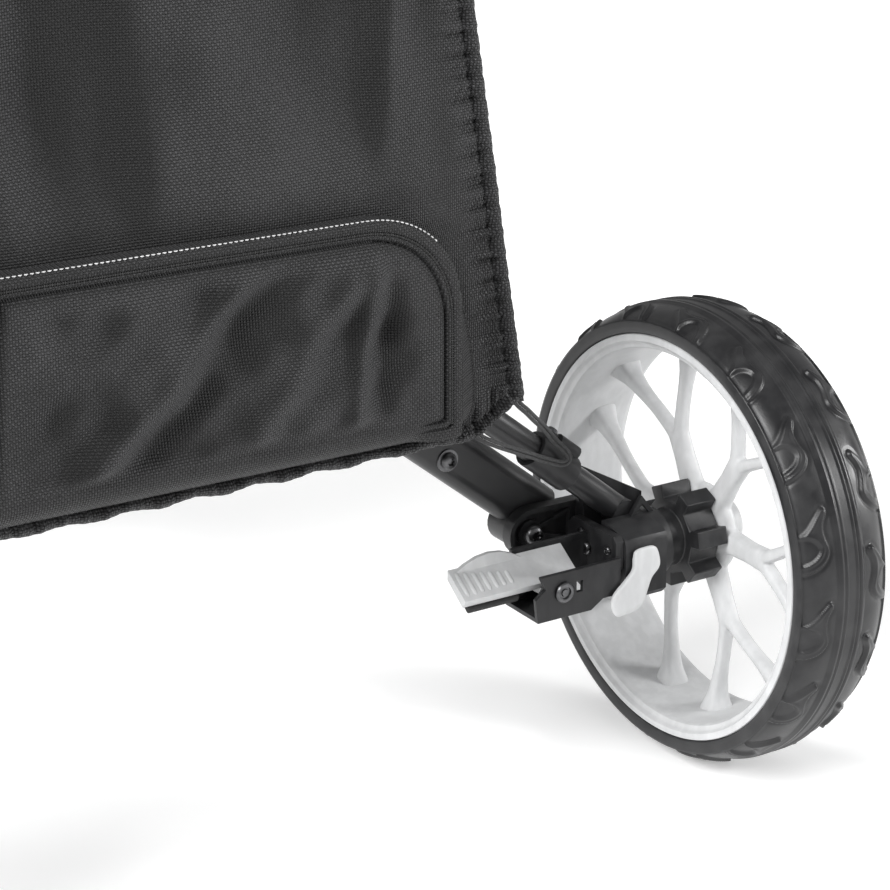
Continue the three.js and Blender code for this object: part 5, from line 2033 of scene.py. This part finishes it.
    def strap(self, node: str, buckle_angle: float) -> None:
        """Webbing round the bag, with a buckle and a loose end that lies along it."""
        low, high = self.place_of(node)
        t = (low + high) / 2
        angle = np.linspace(0, TAU, 240, endpoint=False)
        flat = oval(37.0, 2.6, 36, 6.0)
        grid = [
            self.lean.round(angle, 121.9 + y + 0.15 * np.sin(angle * 9), t + x + 0.0 * angle)
            for x, y in flat
        ]
        band = looped(f"{node}_band", np.array(grid))
        self.turn_map(band)
        dress(band, Look.WEBBING, "frame", [node])

        tail_angle = np.radians(buckle_angle) + np.linspace(0.05, 0.62, 60)
        tail = [
            self.lean.round(
                tail_angle, 124.6 + y + 1.1 * np.sin((tail_angle - tail_angle[0]) * 9) ** 2,
                t + x + 0.0 * tail_angle
            )
            for x, y in oval(34.0, 1.8, 28, 6.0)
        ]
        end = capped(f"{node}_tail", np.swapaxes(np.array(tail), 0, 1))
        self.turn_map(end)
        dress(end, Look.WEBBING, "frame")

        span = np.radians(buckle_angle) + np.linspace(-0.17, 0.17, 40)
        parts = []
        for shift, wide in ((-21.0, 5.0), (21.0, 5.0)):
            ring = [
                self.lean.round(span, 125.0 + y, t + shift + x + 0.0 * span)
                for x, y in oval(wide, 5.4, 20, 3.0)
            ]
            parts.append(capped("rail", np.swapaxes(np.array(ring), 0, 1)))
        for middle_angle in (-0.15, 0.0, 0.15):
            stations = np.linspace(-21.0, 21.0, 24)
            spot = np.radians(buckle_angle) + middle_angle
            ring = [
                self.lean.round(np.full(24, spot + x / 122.0), 125.4 + y, t + stations)
                for x, y in oval(5.0, 5.0, 20, 3.0)
            ]
            parts.append(capped("bar", np.swapaxes(np.array(ring), 0, 1)))
        dress(joined(f"{node}_buckle", parts), Look.MOULDED, "frame")

    def place_of(self, node: str) -> tuple[float, float]:
        """Lowest and highest distance of a strap up the spine, in millimetres."""
        centre = float((middle(node) - self.lean.foot) @ self.lean.up) / MM
        return centre - 19.0, centre + 19.0

    def turn_map(self, piece: Object) -> None:
        """UV map of a strap: distance up the spine, and distance round the axis."""
        mesh = piece.data
        place = np.empty(len(mesh.vertices) * 3)
        mesh.vertices.foreach_get("co", place)
        place = place.reshape(-1, 3) - self.lean.foot
        t = place @ self.lean.up
        turn = np.arctan2(place @ self.lean.out - 0.155, place[:, 0]) * 0.122
        corner = np.empty(len(mesh.loops), int)
        mesh.loops.foreach_get("vertex_index", corner)
        layer = mesh.uv_layers.get("UVMap") or mesh.uv_layers.new(name="UVMap")
        layer.data.foreach_set("uv", np.stack([t[corner], turn[corner]], 1).ravel())

    def carry_handle(self) -> None:
        """Padded carry handle on the bag's far upper side, sewn down at both ends."""
        line = [
            (119.5, 575), (124, 580), (136, 596), (143, 622), (143, 650), (136, 672), (124, 684),
            (119.5, 688)
        ]
        reach = np.array([r for r, _ in line])
        points = self.lean.place(0.0, BAG_AXIS + reach, np.array([t for _, t in line]))
        path = smooth_line(points, 90)
        share = np.linspace(-1, 1, 90)
        thick = 0.45 + 0.55 * (1 - ramp(np.abs(share), 0.55, 0.85))
        side = np.array([1.0, 0.0, 0.0])
        tangent = unit(np.gradient(path, axis=0))
        outward = np.cross(side, tangent)
        flat = oval(30 * MM, 11 * MM, 36, 2.6)
        grid = (
            path[:, None] + flat[None, :, :1] * side
            + (flat[None, :, 1:] * thick[:, None, None]) * outward[:, None]
        )
        piece = capped("carry_grip", grid)
        dress(piece, Look.MESH, "frame")

    def build(self) -> None:
        """Makes the bag's pieces."""
        self.body()
        self.base()
        self.cuff()
        self.pocket("bag_pocket_right", 0.0, 34.0, 190.0, 560.0, 154.0)
        self.pocket("bag_pocket_left", 180.0, 34.0, 190.0, 560.0, 154.0)
        self.pocket("bag_pocket_front", 90.0, 40.0, 160.0, 450.0, 162.0)
        self.strap("lower_strap", 62.0)
        self.strap("upper_strap", 62.0)
        self.carry_handle()


def main() -> None:
    """Builds the stage and every sub-assembly."""
    logging.basicConfig(level=logging.INFO, format="%(name)s: %(message)s")
    Studio().build()
    for side in Side:
        Corner(side).build()
    Wheel("rear_tyre_right", "rear_rim_right", "wheel_right").build()
    Wheel("rear_tyre_left", "rear_rim_left", "wheel_left", outboard=-1).build()
    Wheel(
        "front_tyre", "front_rim", "front_wheel", motifs=12, plate=(19.0, 31.0), hub=(3.0, 47.0), bore=5.3
    ).build()
    Pouch().build()
    FrameWork().build()
    Handle().build()
    GolfBag().build()


if __name__ == "__main__":
    main()
